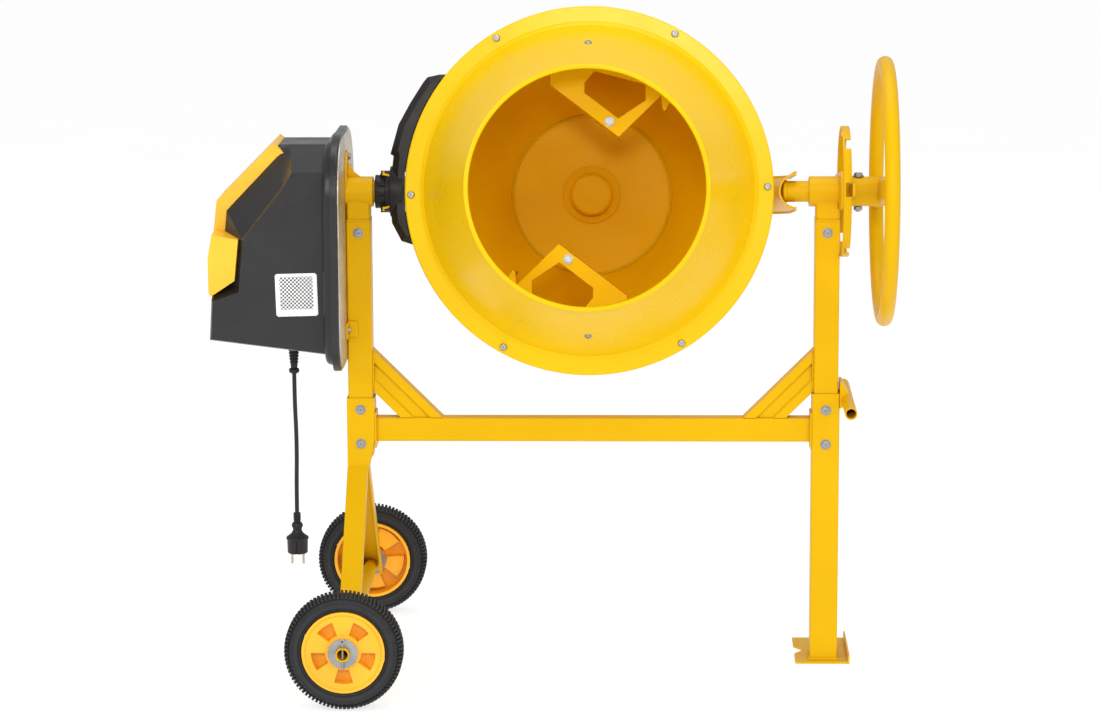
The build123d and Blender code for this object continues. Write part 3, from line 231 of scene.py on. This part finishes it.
def plastic(name, colour, roughness=0.42, grain=900.0, depth=0.00005, rounding=0.0012, dust=0.04, shine=0.45):
    """Moulded plastic: fine spark-eroded grain, slight sink marks and pale rubbed edges."""
    material, tree, shader = new_material(name)
    base = mix_colour(tree, ramp(tree, noise(tree, 9.0, 4.0), [(0.4, 0.0), (0.75, 1.0)]), colour,
                      tuple(c * 1.18 + 0.002 for c in colour))
    pale = tuple(min(1.0, c + dust) for c in colour)
    base = mix_colour(tree, mask_times(tree, edge_mask(tree, 0.001), 0.55), base, pale)
    film = ramp(tree, noise(tree, 45.0, 7.0, 0.68), [(0.5, 0.0), (0.85, 1.0)])
    base = mix_colour(tree, mask_times(tree, film, 0.18), base, pale)
    tree.links.new(base, shader.inputs["Base Color"])
    tree.links.new(ramp(tree, noise(tree, 22.0, 5.0), [(0.3, roughness - 0.07), (0.8, roughness + 0.1)]),
                   shader.inputs["Roughness"])
    shader.inputs["Specular IOR Level"].default_value = shine
    bump(tree, shader, [(noise(tree, grain, 3.0, 0.6), depth), (noise(tree, 12.0, 1.0), 0.0004)], rounding)
    return material


def metal(name, colour, roughness, stretch=(1, 1, 1), scale=320.0, depth=0.00004, stain=0.25):
    """Bare or plated metal: brushed or cloudy, with duller patches and painted shade in the corners."""
    material, tree, shader = new_material(name)
    cloud = noise(tree, 38.0, 6.0, 0.65)
    dull = tuple(c * (1 - stain) for c in colour)
    base = mix_colour(tree, ramp(tree, cloud, [(0.38, 0.0), (0.72, 1.0)]), colour, dull)
    # painted shade: ambient occlusion darkens corners and gaps towards a quarter of the colour
    painted_corner_shade = ramp(tree, corner_shade(tree, 0.004), [(0.2, 1.0), (0.75, 0.0)])
    base = mix_colour(tree, mask_times(tree, painted_corner_shade, 0.6), base, tuple(c * 0.25 for c in colour))
    tree.links.new(base, shader.inputs["Base Color"])
    shader.inputs["Metallic"].default_value = 1.0
    brushed = noise(tree, scale, 3.0, 0.6, stretch)
    gloss = ramp(tree, brushed, [(0.25, roughness - 0.08), (0.8, roughness + 0.14)])
    tree.links.new(gloss, shader.inputs["Roughness"])
    bump(tree, shader, [(brushed, depth)], 0.0005)
    return material


def rubber(name, colour, roughness=0.62, grain=500.0, depth=0.00012):
    """Rubber: dusty, with a fine open grain."""
    material, tree, shader = new_material(name)
    dusty = ramp(tree, noise(tree, 60.0, 8.0, 0.7), [(0.45, 0.0), (0.8, 1.0)])
    base = mix_colour(tree, mask_times(tree, dusty, 0.5), colour, tuple(c * 1.9 + 0.006 for c in colour))
    tree.links.new(base, shader.inputs["Base Color"])
    tree.links.new(ramp(tree, noise(tree, 30.0, 4.0), [(0.3, roughness - 0.1), (0.8, roughness + 0.14)]),
                   shader.inputs["Roughness"])
    shader.inputs["Specular IOR Level"].default_value = 0.35
    bump(tree, shader, [(noise(tree, grain, 4.0, 0.65), depth)], 0.0006)
    return material


# linear colours
YELLOW = (0.74, 0.42, 0.001)
# the frame paint's deep colour: painted shade in corners and gaps, and the colour of dark specks
YELLOW_SHADE_AND_SPECK = (0.50, 0.17, 0.002)
DRUM_YELLOW = (0.85, 0.53, 0.003)
BLACK = (0.019, 0.019, 0.020)

materials = {
    "yellow_paint": paint("yellow_paint", YELLOW, YELLOW_SHADE_AND_SPECK),
    # the drum paint's second colour is painted shade in corners and gaps, and the colour of dark specks
    "drum_paint": paint("drum_paint", DRUM_YELLOW, (0.60, 0.30, 0.001), 0.30, 0.00003, 0.05, 0.26),
    "black_plastic": plastic("black_plastic", BLACK, 0.30, dust=0.03, shine=0.34),
    "guard_plastic": plastic("guard_plastic", (0.009, 0.007, 0.006), 0.40, dust=0.02, shine=0.26),
    "yellow_plastic": plastic("yellow_plastic", (0.86, 0.47, 0.02), 0.34, dust=0.08),
    "rim_plastic": plastic("rim_plastic", (0.90, 0.43, 0.012), 0.40, dust=0.05),
    "tyre_rubber": rubber("tyre_rubber", (0.019, 0.019, 0.021)),
    "cord_rubber": rubber("cord_rubber", (0.012, 0.012, 0.013), 0.5, 700.0, 0.00006),
    "zinc": metal("zinc", (0.40, 0.40, 0.39), 0.42),
    "galvanised": metal("galvanised", (0.60, 0.56, 0.50), 0.42, (1, 1, 1), 60.0, 0.00003, 0.35),
    "machined_steel": metal("machined_steel", (0.48, 0.48, 0.49), 0.28, (1, 9, 9), 300.0),
    "cast_iron": metal("cast_iron", (0.11, 0.105, 0.10), 0.6, (1, 1, 1), 240.0, 0.0002),
    "aluminium": metal("aluminium", (0.62, 0.62, 0.64), 0.4, (1, 1, 1), 200.0),
    "bush_plastic": plastic("bush_plastic", (0.72, 0.68, 0.58), 0.5),
    "belt_rubber": rubber("belt_rubber", (0.014, 0.014, 0.014), 0.7),
    "green_plastic": plastic("green_plastic", (0.02, 0.26, 0.045), 0.3, dust=0.1),
    "red_plastic": plastic("red_plastic", (0.48, 0.012, 0.010), 0.3, dust=0.1),
    "pin_metal": metal("pin_metal", (0.66, 0.62, 0.52), 0.2),
}


for subpart in frame["record"]["subparts"]:
    if subpart["node"] in nodes:
        for material_slot in nodes[subpart["node"]].material_slots:
            material_slot.material = materials[subpart["material_slot"]]

# painted light: the rear shell, the paddles and the hub sit deep in the drum and get a brighter, more orange copy
# of the drum paint in place of the light bouncing inside it; its second colour is painted shade in corners and
# gaps and the colour of dark specks
drum_inside_painted_light = paint("drum_inside_painted_light_paint", (0.98, 0.56, 0.001), (0.80, 0.36, 0.001), 0.34, 0.00003, 0.0, 0.12)
for node in ("drum_rear_shell", "upper_paddle", "lower_paddle", "drum_hub"):
    for material_slot in nodes[node].material_slots:
        material_slot.material = drum_inside_painted_light


# ------------------------------------------------------------------ making pieces
def piece(name, mesh, body, slot_name):
    """Puts a mesh in the scene as a piece that rides on a body."""
    obj = bpy.data.objects.new(name, mesh)
    scene.collection.objects.link(obj)
    if not obj.data.materials:
        obj.data.materials.append(materials[slot_name])
    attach(obj, body)
    return obj


def mesh_from(name, build):
    """A mesh filled by a function that is handed an empty bmesh."""
    work = bmesh.new()
    build(work)
    bmesh.ops.recalc_face_normals(work, faces=work.faces)
    mesh = bpy.data.meshes.new(name)
    work.to_mesh(mesh)
    work.free()
    return mesh


def smooth_by_angle(mesh, degrees=35.0):
    """Smooth shading, with edges sharper than an angle left crisp."""
    limit = math.radians(degrees)
    work = bmesh.new()
    work.from_mesh(mesh)
    for face in work.faces:
        face.smooth = True
    for edge in work.edges:
        edge.smooth = len(edge.link_faces) == 2 and edge.calc_face_angle(0.0) < limit
    work.to_mesh(mesh)
    work.free()


# ------------------------------------------------------------------ turning and joining
def ring_faces(work, rings, closed_profile=True):
    """Joins equal rings of vertices, each closed on itself, into one skin."""
    count = len(rings)
    last = count if closed_profile else count - 1
    for index in range(last):
        first, second = rings[index], rings[(index + 1) % count]
        for step in range(len(first)):
            after = (step + 1) % len(first)
            work.faces.new((first[step], first[after], second[after], second[step]))


def lathe(work, centre, side, up, axis, profile, segments):
    """Turns a closed profile of (radius, distance along the axis) about an axis through a centre."""
    rings = []
    for radius, along in profile:
        verts = []
        for step in range(segments):
            angle = 2 * math.pi * step / segments
            spoke = side * math.cos(angle) + up * math.sin(angle)
            verts.append(work.verts.new(centre + axis * along + spoke * radius))
        rings.append(verts)
    ring_faces(work, rings)


def block(work, corners):
    """A six-sided block from its four lower and four upper corners."""
    verts = [work.verts.new(corner) for corner in corners]
    for loop in ((3, 2, 1, 0), (4, 5, 6, 7), (0, 1, 5, 4), (1, 2, 6, 5), (2, 3, 7, 6), (3, 0, 4, 7)):
        work.faces.new([verts[index] for index in loop])


# ------------------------------------------------------------------ mains cord
def add_gland():
    """The strain relief: a ribbed boot that tapers to a collar where the cord leaves it."""
    low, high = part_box("cable_gland")
    centre = Vector(((low.x + high.x) / 2, (low.y + high.y) / 2, 0))
    outer = [(0.0090, 0.546), (0.0090, 0.5305), (0.0099, 0.5285), (0.0099, 0.5215), (0.0090, 0.5205)]
    ribs = 5
    for rib in range(ribs):
        top = 0.5200 - rib * 0.0050
        size = 0.0088 - rib * 0.00045
        outer += [(size - 0.0010, top), (size, top - 0.0009), (size - 0.0002, top - 0.0030),
                  (size - 0.0013, top - 0.0038)]
    outer += [(0.0060, 0.4940), (0.0052, 0.4885), (0.0083, 0.4868), (0.0085, 0.4848), (0.0083, 0.4815),
              (0.0048, 0.4792)]
    profile = outer + [(0.0036, 0.4792), (0.0036, 0.546)]

    def build(work):
        lathe(work, centre, Vector((1, 0, 0)), Vector((0, 1, 0)), Vector((0, 0, 1)), profile, 48)

    mesh = mesh_from("strain_relief", build)
    smooth_by_angle(mesh, 40)
    boot = piece("strain_relief", mesh, "frame", "cord_rubber")
    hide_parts("cable_gland")
    return boot


def add_plug():
    """The rubber plug: a ribbed neck, a waist, a wide grip flange and a body with flats and a groove."""
    low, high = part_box("power_plug")
    centre = Vector(((low.x + high.x) / 2, (low.y + high.y) / 2, 0))
    top = high.z
    drop = high.z - low.z
    wide = (high.x - low.x) / 2
    outer = [(0.0036, 0.0), (0.0058, 0.0004)]
    for rib in range(4):
        at = 0.0012 + rib * 0.0036
        outer += [(0.0062, at), (0.0062, at + 0.0018), (0.0050, at + 0.0022), (0.0050, at + 0.0032)]
    outer += [(0.0074, 0.0168), (0.0092, 0.0200), (0.0094, 0.0226), (0.0076, 0.0262), (0.0072, 0.0296),
              (0.0092, 0.0338), (0.0142, 0.0382), (wide - 0.0014, 0.0402), (wide, 0.0414), (wide, 0.0440),
              (wide - 0.0010, 0.0452), (wide - 0.0014, 0.0470), (wide - 0.0018, drop - 0.0012),
              (wide - 0.0030, drop)]
    profile = outer + [(0.0100, drop), (0.0100, drop - 0.0030), (0.0036, drop - 0.0030)]

    def build(work):
        lathe(work, centre + Vector((0, 0, top)), Vector((1, 0, 0)), Vector((0, 1, 0)), Vector((0, 0, -1)),
              profile, 72)
        for vert in work.verts:
            depth = top - vert.co.z
            if depth > 0.0455:
                offset = vert.co.y - centre.y
                flat = wide * 0.80
                vert.co.y = centre.y + max(-flat, min(flat, offset))
                if abs(vert.co.x - centre.x) < 0.0011 and abs(offset) > 0.011:
                    vert.co.y -= math.copysign(0.0012, offset)

    mesh = mesh_from("mains_plug", build)
    smooth_by_angle(mesh, 32)
    plug = piece("mains_plug", mesh, "frame", "cord_rubber")
    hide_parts("power_plug")
    return plug


def add_cord():
    """The cord hangs from its gland to its plug on one smooth line."""
    low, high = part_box("cable_gland")
    x = (low.x + high.x) / 2
    route = [(0, 0, 479), (0, 0, 432), (1.6, 0.8, 386), (1.9, 0.4, 339), (0.6, -0.5, 292), (0.6, -0.5, 245)]
    curve = bpy.data.curves.new("mains_cord", "CURVE")
    curve.dimensions = "3D"
    curve.bevel_depth = 3.5 * MM
    curve.bevel_resolution = 6
    curve.resolution_u = 12
    curve.use_fill_caps = True
    spline = curve.splines.new("NURBS")
    spline.points.add(len(route) - 1)
    for point, place in zip(spline.points, route):
        point.co = (x + place[0] * MM, place[1] * MM, place[2] * MM, 1.0)
    spline.order_u = 3
    spline.use_endpoint_u = True
    obj = bpy.data.objects.new("mains_cord", curve)
    scene.collection.objects.link(obj)
    curve.materials.append(materials["cord_rubber"])
    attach(obj, "frame")
    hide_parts("power_cord")
    add_plug()
    add_gland()


add_cord()


# ------------------------------------------------------------------ wheels, welds and screws
def add_tyre(node, body):
    """A tyre with ridged side walls and five staggered rows of tread blocks."""
    low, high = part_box(node)
    centre = (low + high) / 2
    radius = (high.z - low.z) / 2
    half = (high.y - low.y) / 2
    side, up, axis = Vector((1, 0, 0)), Vector((0, 0, 1)), Vector((0, 1, 0))
    seat = 0.0661
    carcass = radius - 0.0042
    wall = [(seat, half - 0.007), (seat + 0.0012, half - 0.0035), (seat + 0.0035, half - 0.0018),
            (seat + 0.0042, half - 0.0030), (seat + 0.0055, half - 0.0030), (seat + 0.0062, half - 0.0012),
            (seat + 0.0090, half - 0.0004), (seat + 0.0130, half - 0.0004), (seat + 0.0137, half - 0.0014),
            (seat + 0.0150, half - 0.0014), (seat + 0.0157, half - 0.0008), (seat + 0.0185, half - 0.0030),
            (seat + 0.0208, half - 0.0058), (carcass, half - 0.0100), (carcass + 0.0004, half * 0.3)]
    profile = wall + [(r, -a) for r, a in reversed(wall)]

    def build(work):
        lathe(work, centre, side, up, axis, profile, 160)
        count = 88
        for row, row_y in enumerate((-0.0158, -0.0080, 0.0, 0.0080, 0.0158)):
            edge = abs(row_y) > 0.012
            for index in range(count):
                angle = 2 * math.pi * (index + 0.12 * row) / count
                wide = 0.00175 * random.uniform(0.96, 1.04)
                deep = 0.0036 if edge else 0.0034
                spoke = side * math.cos(angle) + up * math.sin(angle)
                tangent = up * math.cos(angle) - side * math.sin(angle)
                sign = 1 if row_y > 0 else -1
                corners = []
                for level, shrink in ((carcass - 0.0022, 1.1), (radius - 0.0001, 0.9)):
                    for turn, along in ((-1, -1), (1, -1), (1, 1), (-1, 1)):
                        drop = 0.0
                        if edge and along == sign and shrink < 1:
                            drop = 0.0019
                        corners.append(centre + spoke * (level - drop) + tangent * (wide * shrink * turn)
                                       + axis * (row_y + deep * shrink * along * 0.98))
                block(work, corners)

    mesh = mesh_from(node + "_tread", build)
    smooth_by_angle(mesh, 28)
    tyre = piece(node + "_tread", mesh, body, "tyre_rubber")
    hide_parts(node)


add_tyre("front_tyre", "front_wheel")
add_tyre("rear_tyre", "rear_wheel")


def bead(name, points, radius, body, slot_name, closed=False):
    """A weld bead: a rippled tube along points, like a row of overlapping coins."""
    bead_sides = 10
    path = []
    span = list(zip(points, points[1:] + points[:1])) if closed else list(zip(points, points[1:]))
    for start, end in span:
        steps = max(1, round((end - start).length / (radius * 0.45)))
        path += [start.lerp(end, step / steps) for step in range(steps)]
    if not closed:
        path.append(points[-1])

    def build(work):
        rings = []
        for index, place in enumerate(path):
            before = path[index - 1] if index or closed else path[0]
            after = path[(index + 1) % len(path)] if index < len(path) - 1 or closed else path[-1]
            run = (after - before).normalized()
            upright = abs(run.z) > 0.99
            side = run.orthogonal().normalized() if upright else run.cross(Vector((0, 0, 1))).normalized()
            up = side.cross(run)
            ripple = (0.78, 1.0, 1.06, 0.95)[index % 4] * random.uniform(0.93, 1.05)
            if not closed and index in (0, len(path) - 1):
                ripple *= 0.35
            size = radius * ripple
            verts = []
            for step in range(bead_sides):
                angle = 2 * math.pi * step / bead_sides
                verts.append(work.verts.new(place + (side * math.cos(angle) + up * math.sin(angle)) * size))
            rings.append(verts)
        ring_faces(work, rings, closed)
        if not closed:
            work.faces.new(rings[0])
            work.faces.new(rings[-1])

    mesh = mesh_from(name, build)
    for polygon in mesh.polygons:
        polygon.use_smooth = True
    return piece(name, mesh, body, slot_name)


def add_beads():
    """The weld beads of the stand's braces and foot, and the drum's bottom seam."""
    ring_r = 0.1335
    seam = [drum_point(ring_r * math.cos(t), ring_r * math.sin(t), -0.2375)
            for t in [2 * math.pi * k / 72 for k in range(72)]]
    bead("drum_bottom_seam", seam, 0.0022, "drum", "drum_paint", True)
    for label, node, inward in (("left", "left_post", 1), ("right", "right_post", -1)):
        low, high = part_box(node)
        face = high.x if inward > 0 else low.x
        x = face + inward * 0.0008
        for half, y in (("front", -0.0135), ("rear", 0.0135)):
            bead(f"{label}_brace_weld_{half}", [Vector((x, y, 0.456)), Vector((x, y, 0.5165))],
                 0.0021, "frame", "yellow_paint")
    low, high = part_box("right_leg")
    off = 0.0006
    left, right = low.x - off, high.x + off
    near, far = low.y - off, high.y + off
    z = 0.0036
    corners = [Vector((x, y, z)) for x, y in ((left, near), (right, near), (right, far), (left, far))]
    bead("foot_weld", corners, 0.0026, "frame", "yellow_paint", True)


add_beads()


def surface_point(node, start, aim):
    """Where a ray from a point first meets a CAD node."""
    mesh = nodes[node].data
    work = bmesh.new()
    work.from_mesh(mesh)
    tree = BVHTree.FromBMesh(work)
    place = tree.ray_cast(start, aim.normalized())[0]
    work.free()
    return place


def screw(work, place, normal, radius):
    """A domed screw head with a round socket, on a washer."""
    side = normal.orthogonal().normalized()
    up = normal.cross(side)
    head = [(radius * 1.25, -0.0010), (radius * 1.25, 0.0006), (radius * 1.05, 0.0009), (radius, 0.0010),
            (radius * 0.96, 0.0022), (radius * 0.80, 0.0032), (radius * 0.46, 0.0036),
            (radius * 0.42, 0.0034), (radius * 0.40, 0.0014), (radius * 0.05, 0.0014),
            (radius * 0.05, -0.0010)]
    lathe(work, place, side, up, normal, head, 24)


def add_index_band():
    """The index ring as a rolled flat band, notched for the lock arm's two ends at each of three stops."""
    low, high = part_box("index_ring")
    centre = (low + high) / 2
    radius = (high.z - low.z) / 2
    half = (high.x - low.x) / 2
    wall = 0.003
    notch_depth = 0.009
    notch_turn = math.degrees(0.0115 / radius)
    stops = [end - tilt for tilt in (0.0, -225.0, 67.5) for end in (0.0, 180.0)]
    round_off = 0.0006
    edge = half - 0.0007
    bore = radius - wall
    outer = [(radius - round_off, -half), (radius, -edge), (radius, edge), (radius - round_off, half)]
    inner = [(bore + round_off, half), (bore, edge), (bore, -edge), (bore + round_off, -half)]
    turns = [2.25 * step for step in range(160)]
    for stop in stops:
        turns += [(stop + side * notch_turn * near) % 360 for side in (-1, 1) for near in (0.999, 1.001)]

    def notched(turn):
        return any(abs((turn - stop + 180) % 360 - 180) < notch_turn for stop in stops)

    def build(work):
        rings = []
        for size, along in outer + inner:
            verts = []
            for turn in sorted(turns):
                spoke = drum_dir * math.cos(math.radians(turn)) + drum_up * math.sin(math.radians(turn))
                depth = notch_depth if along > 0 and notched(turn) else 0.0
                verts.append(work.verts.new(centre + across * (along - depth) + spoke * size))
            rings.append(verts)
        ring_faces(work, rings)

    mesh = mesh_from("index_band", build)
    smooth_by_angle(mesh, 50)
    band = piece("index_band", mesh, "frame", "yellow_paint")
    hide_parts("index_ring")


add_index_band()


def add_shaft_root():
    """The welded root that closes the shaft's end against the half-round yoke."""
    profile = [(0.0174, 0.3200), (0.0190, 0.3166), (0.0186, 0.3140), (0.0155, 0.3115), (0.0110, 0.3095),
               (0.0005, 0.3093), (0.0005, 0.3200)]

    def build(work):
        lathe(work, tilt_point, drum_up, drum_dir, across, profile, 48)

    mesh = mesh_from("shaft_root", build)
    smooth_by_angle(mesh, 40)
    piece("shaft_root", mesh, "yoke", "yellow_paint")


def add_guard_collar():
    """The guard's stepped collar, which wraps the yoke's end round the hollow pivot tube."""
    profile = [(0.0268, -0.3470), (0.0272, -0.3464), (0.0272, -0.3420), (0.0246, -0.3416), (0.0246, -0.3392),
               (0.0272, -0.3388), (0.0272, -0.3300), (0.0334, -0.3296), (0.0340, -0.3288),
               (0.0340, -0.3235), (0.0404, -0.3225), (0.0412, -0.3215), (0.0412, -0.3016), (0.0240, -0.3016),
               (0.0240, -0.3470)]

    def build(work):
        lathe(work, tilt_point, drum_up, drum_dir, across, profile, 64)
        for index in range(10):
            angle = 2 * math.pi * index / 10
            spoke = drum_up * math.cos(angle) + drum_dir * math.sin(angle)
            side = drum_dir * math.cos(angle) - drum_up * math.sin(angle)
            corners = []
            for level in (0.0260, 0.0338):
                for turn, along in ((-1, -0.3386), (1, -0.3386), (1, -0.3292), (-1, -0.3292)):
                    corners.append(tilt_point + spoke * level + side * (0.0013 * turn) + across * along)
            block(work, corners)

    mesh = mesh_from("guard_collar", build)
    smooth_by_angle(mesh, 40)
    piece("guard_collar", mesh, "yoke", "guard_plastic")


add_shaft_root()
add_guard_collar()


def islands(node):
    """The boxes of a CAD node's separate solids, as (low, high) pairs in the world."""
    work = bmesh.new()
    work.from_mesh(nodes[node].data)
    work.transform(nodes[node].matrix_world)
    bmesh.ops.remove_doubles(work, verts=work.verts, dist=1e-6)
    left = set(work.verts)
    boxes = []
    while left:
        front = [left.pop()]
        found = []
        while front:
            vert = front.pop()
            found.append(vert.co.copy())
            for edge in vert.link_edges:
                other = edge.other_vert(vert)
                if other in left:
                    left.remove(other)
                    front.append(other)
        boxes.append((Vector(min(co[axis] for co in found) for axis in range(3)),
                      Vector(max(co[axis] for co in found) for axis in range(3))))
    work.free()
    return sorted(boxes, key=lambda pair: tuple(round(value, 5) for value in pair[0]))


def add_frame_bolts():
    """Hexagon bolts through the posts: a washer and a chamfered head in front, the same behind."""
    def build(work):
        for low, high in islands("frame_bolts"):
            middle = (low + high) / 2
            radius = (high.x - low.x) / 2
            turn = random.uniform(0, math.pi)
            side = Vector((math.cos(turn), 0, math.sin(turn)))
            for start, way in ((low.y, -1), (high.y, 1)):
                up = side.cross(Vector((0, way, 0)))
                at = Vector((middle.x, start, middle.z))
                washer = [(radius, -0.0046), (radius, -0.0060), (0.001, -0.0060), (0.001, -0.0046)]
                lathe(work, at, side, up, Vector((0, way, 0)), washer, 32)
                head = [(radius * 0.80, -0.0050), (radius * 0.80, -0.0008), (radius * 0.66, -0.0001),
                        (radius * 0.40, -0.0001), (radius * 0.34, -0.0007), (0.001, -0.0007),
                        (0.001, -0.0050)]
                lathe(work, at, side, up, Vector((0, way, 0)), head, 6)

    mesh = mesh_from("frame_bolt_heads", build)
    heads = piece("frame_bolt_heads", mesh, "frame", "zinc")
    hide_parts("frame_bolts")


add_frame_bolts()


def add_cone_screws():
    """The two screws that hold the paddles through the drum's front cone."""
    def build(work):
        for sign in (1, -1):
            start = drum_point(0, sign * 0.30, 0.155)
            slope = (drum_up * sign * 0.938 + drum_dir * 0.347).normalized()
            place = surface_point("drum_front_cone", start, -slope)
            screw(work, place, slope, 0.0050)

    mesh = mesh_from("cone_screws", build)
    smooth_by_angle(mesh, 30)
    piece("cone_screws", mesh, "drum", "zinc")


add_cone_screws()


def add_label():
    """A plain white sticker on the housing's side with a grey checked square, no lettering."""
    material, tree, shader = new_material("label_print")
    coords = tree.nodes.new("ShaderNodeTexCoord")
    checker = tree.nodes.new("ShaderNodeTexChecker")
    checker.inputs["Scale"].default_value = 320.0
    checker.inputs["Color1"].default_value = (0.86, 0.86, 0.85, 1)
    checker.inputs["Color2"].default_value = (0.05, 0.05, 0.05, 1)
    tree.links.new(coords.outputs["Object"], checker.inputs["Vector"])
    fade = ramp(tree, noise(tree, 40.0, 3.0), [(0.3, 0.0), (0.8, 0.16)])
    print_colour = mix_colour(tree, fade, checker.outputs["Color"], (0.6, 0.6, 0.58))
    tree.links.new(print_colour, shader.inputs["Base Color"])
    shader.inputs["Roughness"].default_value = 0.4
    bump(tree, shader, [(noise(tree, 300.0, 2.0), 0.00002)])
    paper, tree, shader = new_material("label_paper")
    tone = ramp(tree, noise(tree, 50.0, 4.0), [(0.3, 0.0), (0.8, 0.5)])
    paper_colour = mix_colour(tree, tone, (0.86, 0.86, 0.85), (0.78, 0.78, 0.76))
    tree.links.new(paper_colour, shader.inputs["Base Color"])
    shader.inputs["Roughness"].default_value = 0.38
    bump(tree, shader, [(noise(tree, 200.0, 3.0), 0.00002)])
    middle = Vector((-0.4055, 0, 0.6310))
    face_y = surface_point("motor_housing", Vector((middle.x, -0.4, middle.z)), Vector((0, 1, 0))).y
    lean = math.radians(1.5)
    right = Vector((math.cos(lean), 0, math.sin(lean)))
    up = Vector((-math.sin(lean), 0, math.cos(lean)))

    def plate(half_x, half_z, y_low, y_high, shift):
        def build(work):
            corners = []
            for y in (y_high, y_low):
                for across_step, up_step in ((-1, -1), (1, -1), (1, 1), (-1, 1)):
                    place = middle + right * (half_x * across_step) + up * (half_z * up_step + shift)
                    corners.append(Vector((place.x, y, place.z)))
            block(work, corners)
            upright = [edge for edge in work.edges if abs((edge.verts[0].co - edge.verts[1].co).y) > 1e-5]
            bmesh.ops.bevel(work, geom=upright,
                            offset=min(half_x, half_z) * 0.06, segments=3, affect="EDGES")
        return build

    mesh = mesh_from("side_label", plate(0.0335, 0.0345, face_y - 0.00035, face_y + 0.002, 0))
    mesh.materials.append(paper)
    piece("side_label", mesh, "frame", "black_plastic")
    mesh = mesh_from("side_label_print", plate(0.0265, 0.0265, face_y - 0.00050, face_y, 0.003))
    mesh.materials.append(material)
    piece("side_label_print", mesh, "frame", "black_plastic")


add_label()


# ------------------------------------------------------------------ stage and light
def add_stage():
    """A plain pale floor that runs far back."""
    mesh = mesh_from("floor", lambda work: bmesh.ops.create_grid(work, x_segments=2, y_segments=2, size=20.0))
    floor = bpy.data.objects.new("floor", mesh)
    floor.location = (0, 8, -0.0005)
    scene.collection.objects.link(floor)
    material, tree, shader = new_material("floor")
    base = mix_colour(tree, noise(tree, 3.0, 3.0), (0.38, 0.38, 0.38), (0.41, 0.41, 0.41))
    tree.links.new(base, shader.inputs["Base Color"])
    shader.inputs["Roughness"].default_value = 0.6
    shader.inputs["Emission Color"].default_value = (1, 1, 1, 1)
    shader.inputs["Emission Strength"].default_value = 0.715
    floor.data.materials.append(material)


def add_light(name, place, target, size, power, colour=(1, 1, 1)):
    """A soft square light aimed at a point."""
    light_data = bpy.data.lights.new(name, "AREA")
    light_data.shape = "RECTANGLE"
    light_data.size = size[0]
    light_data.size_y = size[1]
    light_data.energy = power
    light_data.color = colour
    light = bpy.data.objects.new(name, light_data)
    light.location = place
    aim = (Vector(target) - Vector(place)).normalized()
    light.rotation_mode = "QUATERNION"
    light.rotation_quaternion = aim.to_track_quat("-Z", "Y")
    scene.collection.objects.link(light)


def add_lights():
    """Soft studio light: a broad key from the upper left front, a fill and a top light."""
    centre = (0, 0, 0.6)
    add_light("key", (-2.4, -3.6, 2.6), centre, (1.6, 2.2), 47)
    add_light("fill", (3.0, -3.2, 1.8), centre, (1.2, 2.4), 34)
    add_light("top", (0.2, 0.2, 3.4), centre, (2.4, 1.6), 30)
    add_light("front", (0.5, -3.9, 3.9), (0.06, 0, 0.8), (1.6, 1.0), 32)
    add_light("mouth", (0.15, -4.6, 2.1), (0.06, 0, 0.8), (0.7, 0.5), 46)
    world = bpy.data.worlds.new("studio")
    world.use_nodes = True
    background = world.node_tree.nodes.get("Background") or world.node_tree.nodes.new("ShaderNodeBackground")
    background.inputs["Color"].default_value = (1, 1, 1, 1)
    background.inputs["Strength"].default_value = 0.56
    scene.world = world
    scene.view_settings.view_transform = "Standard"


add_stage()
add_lights()
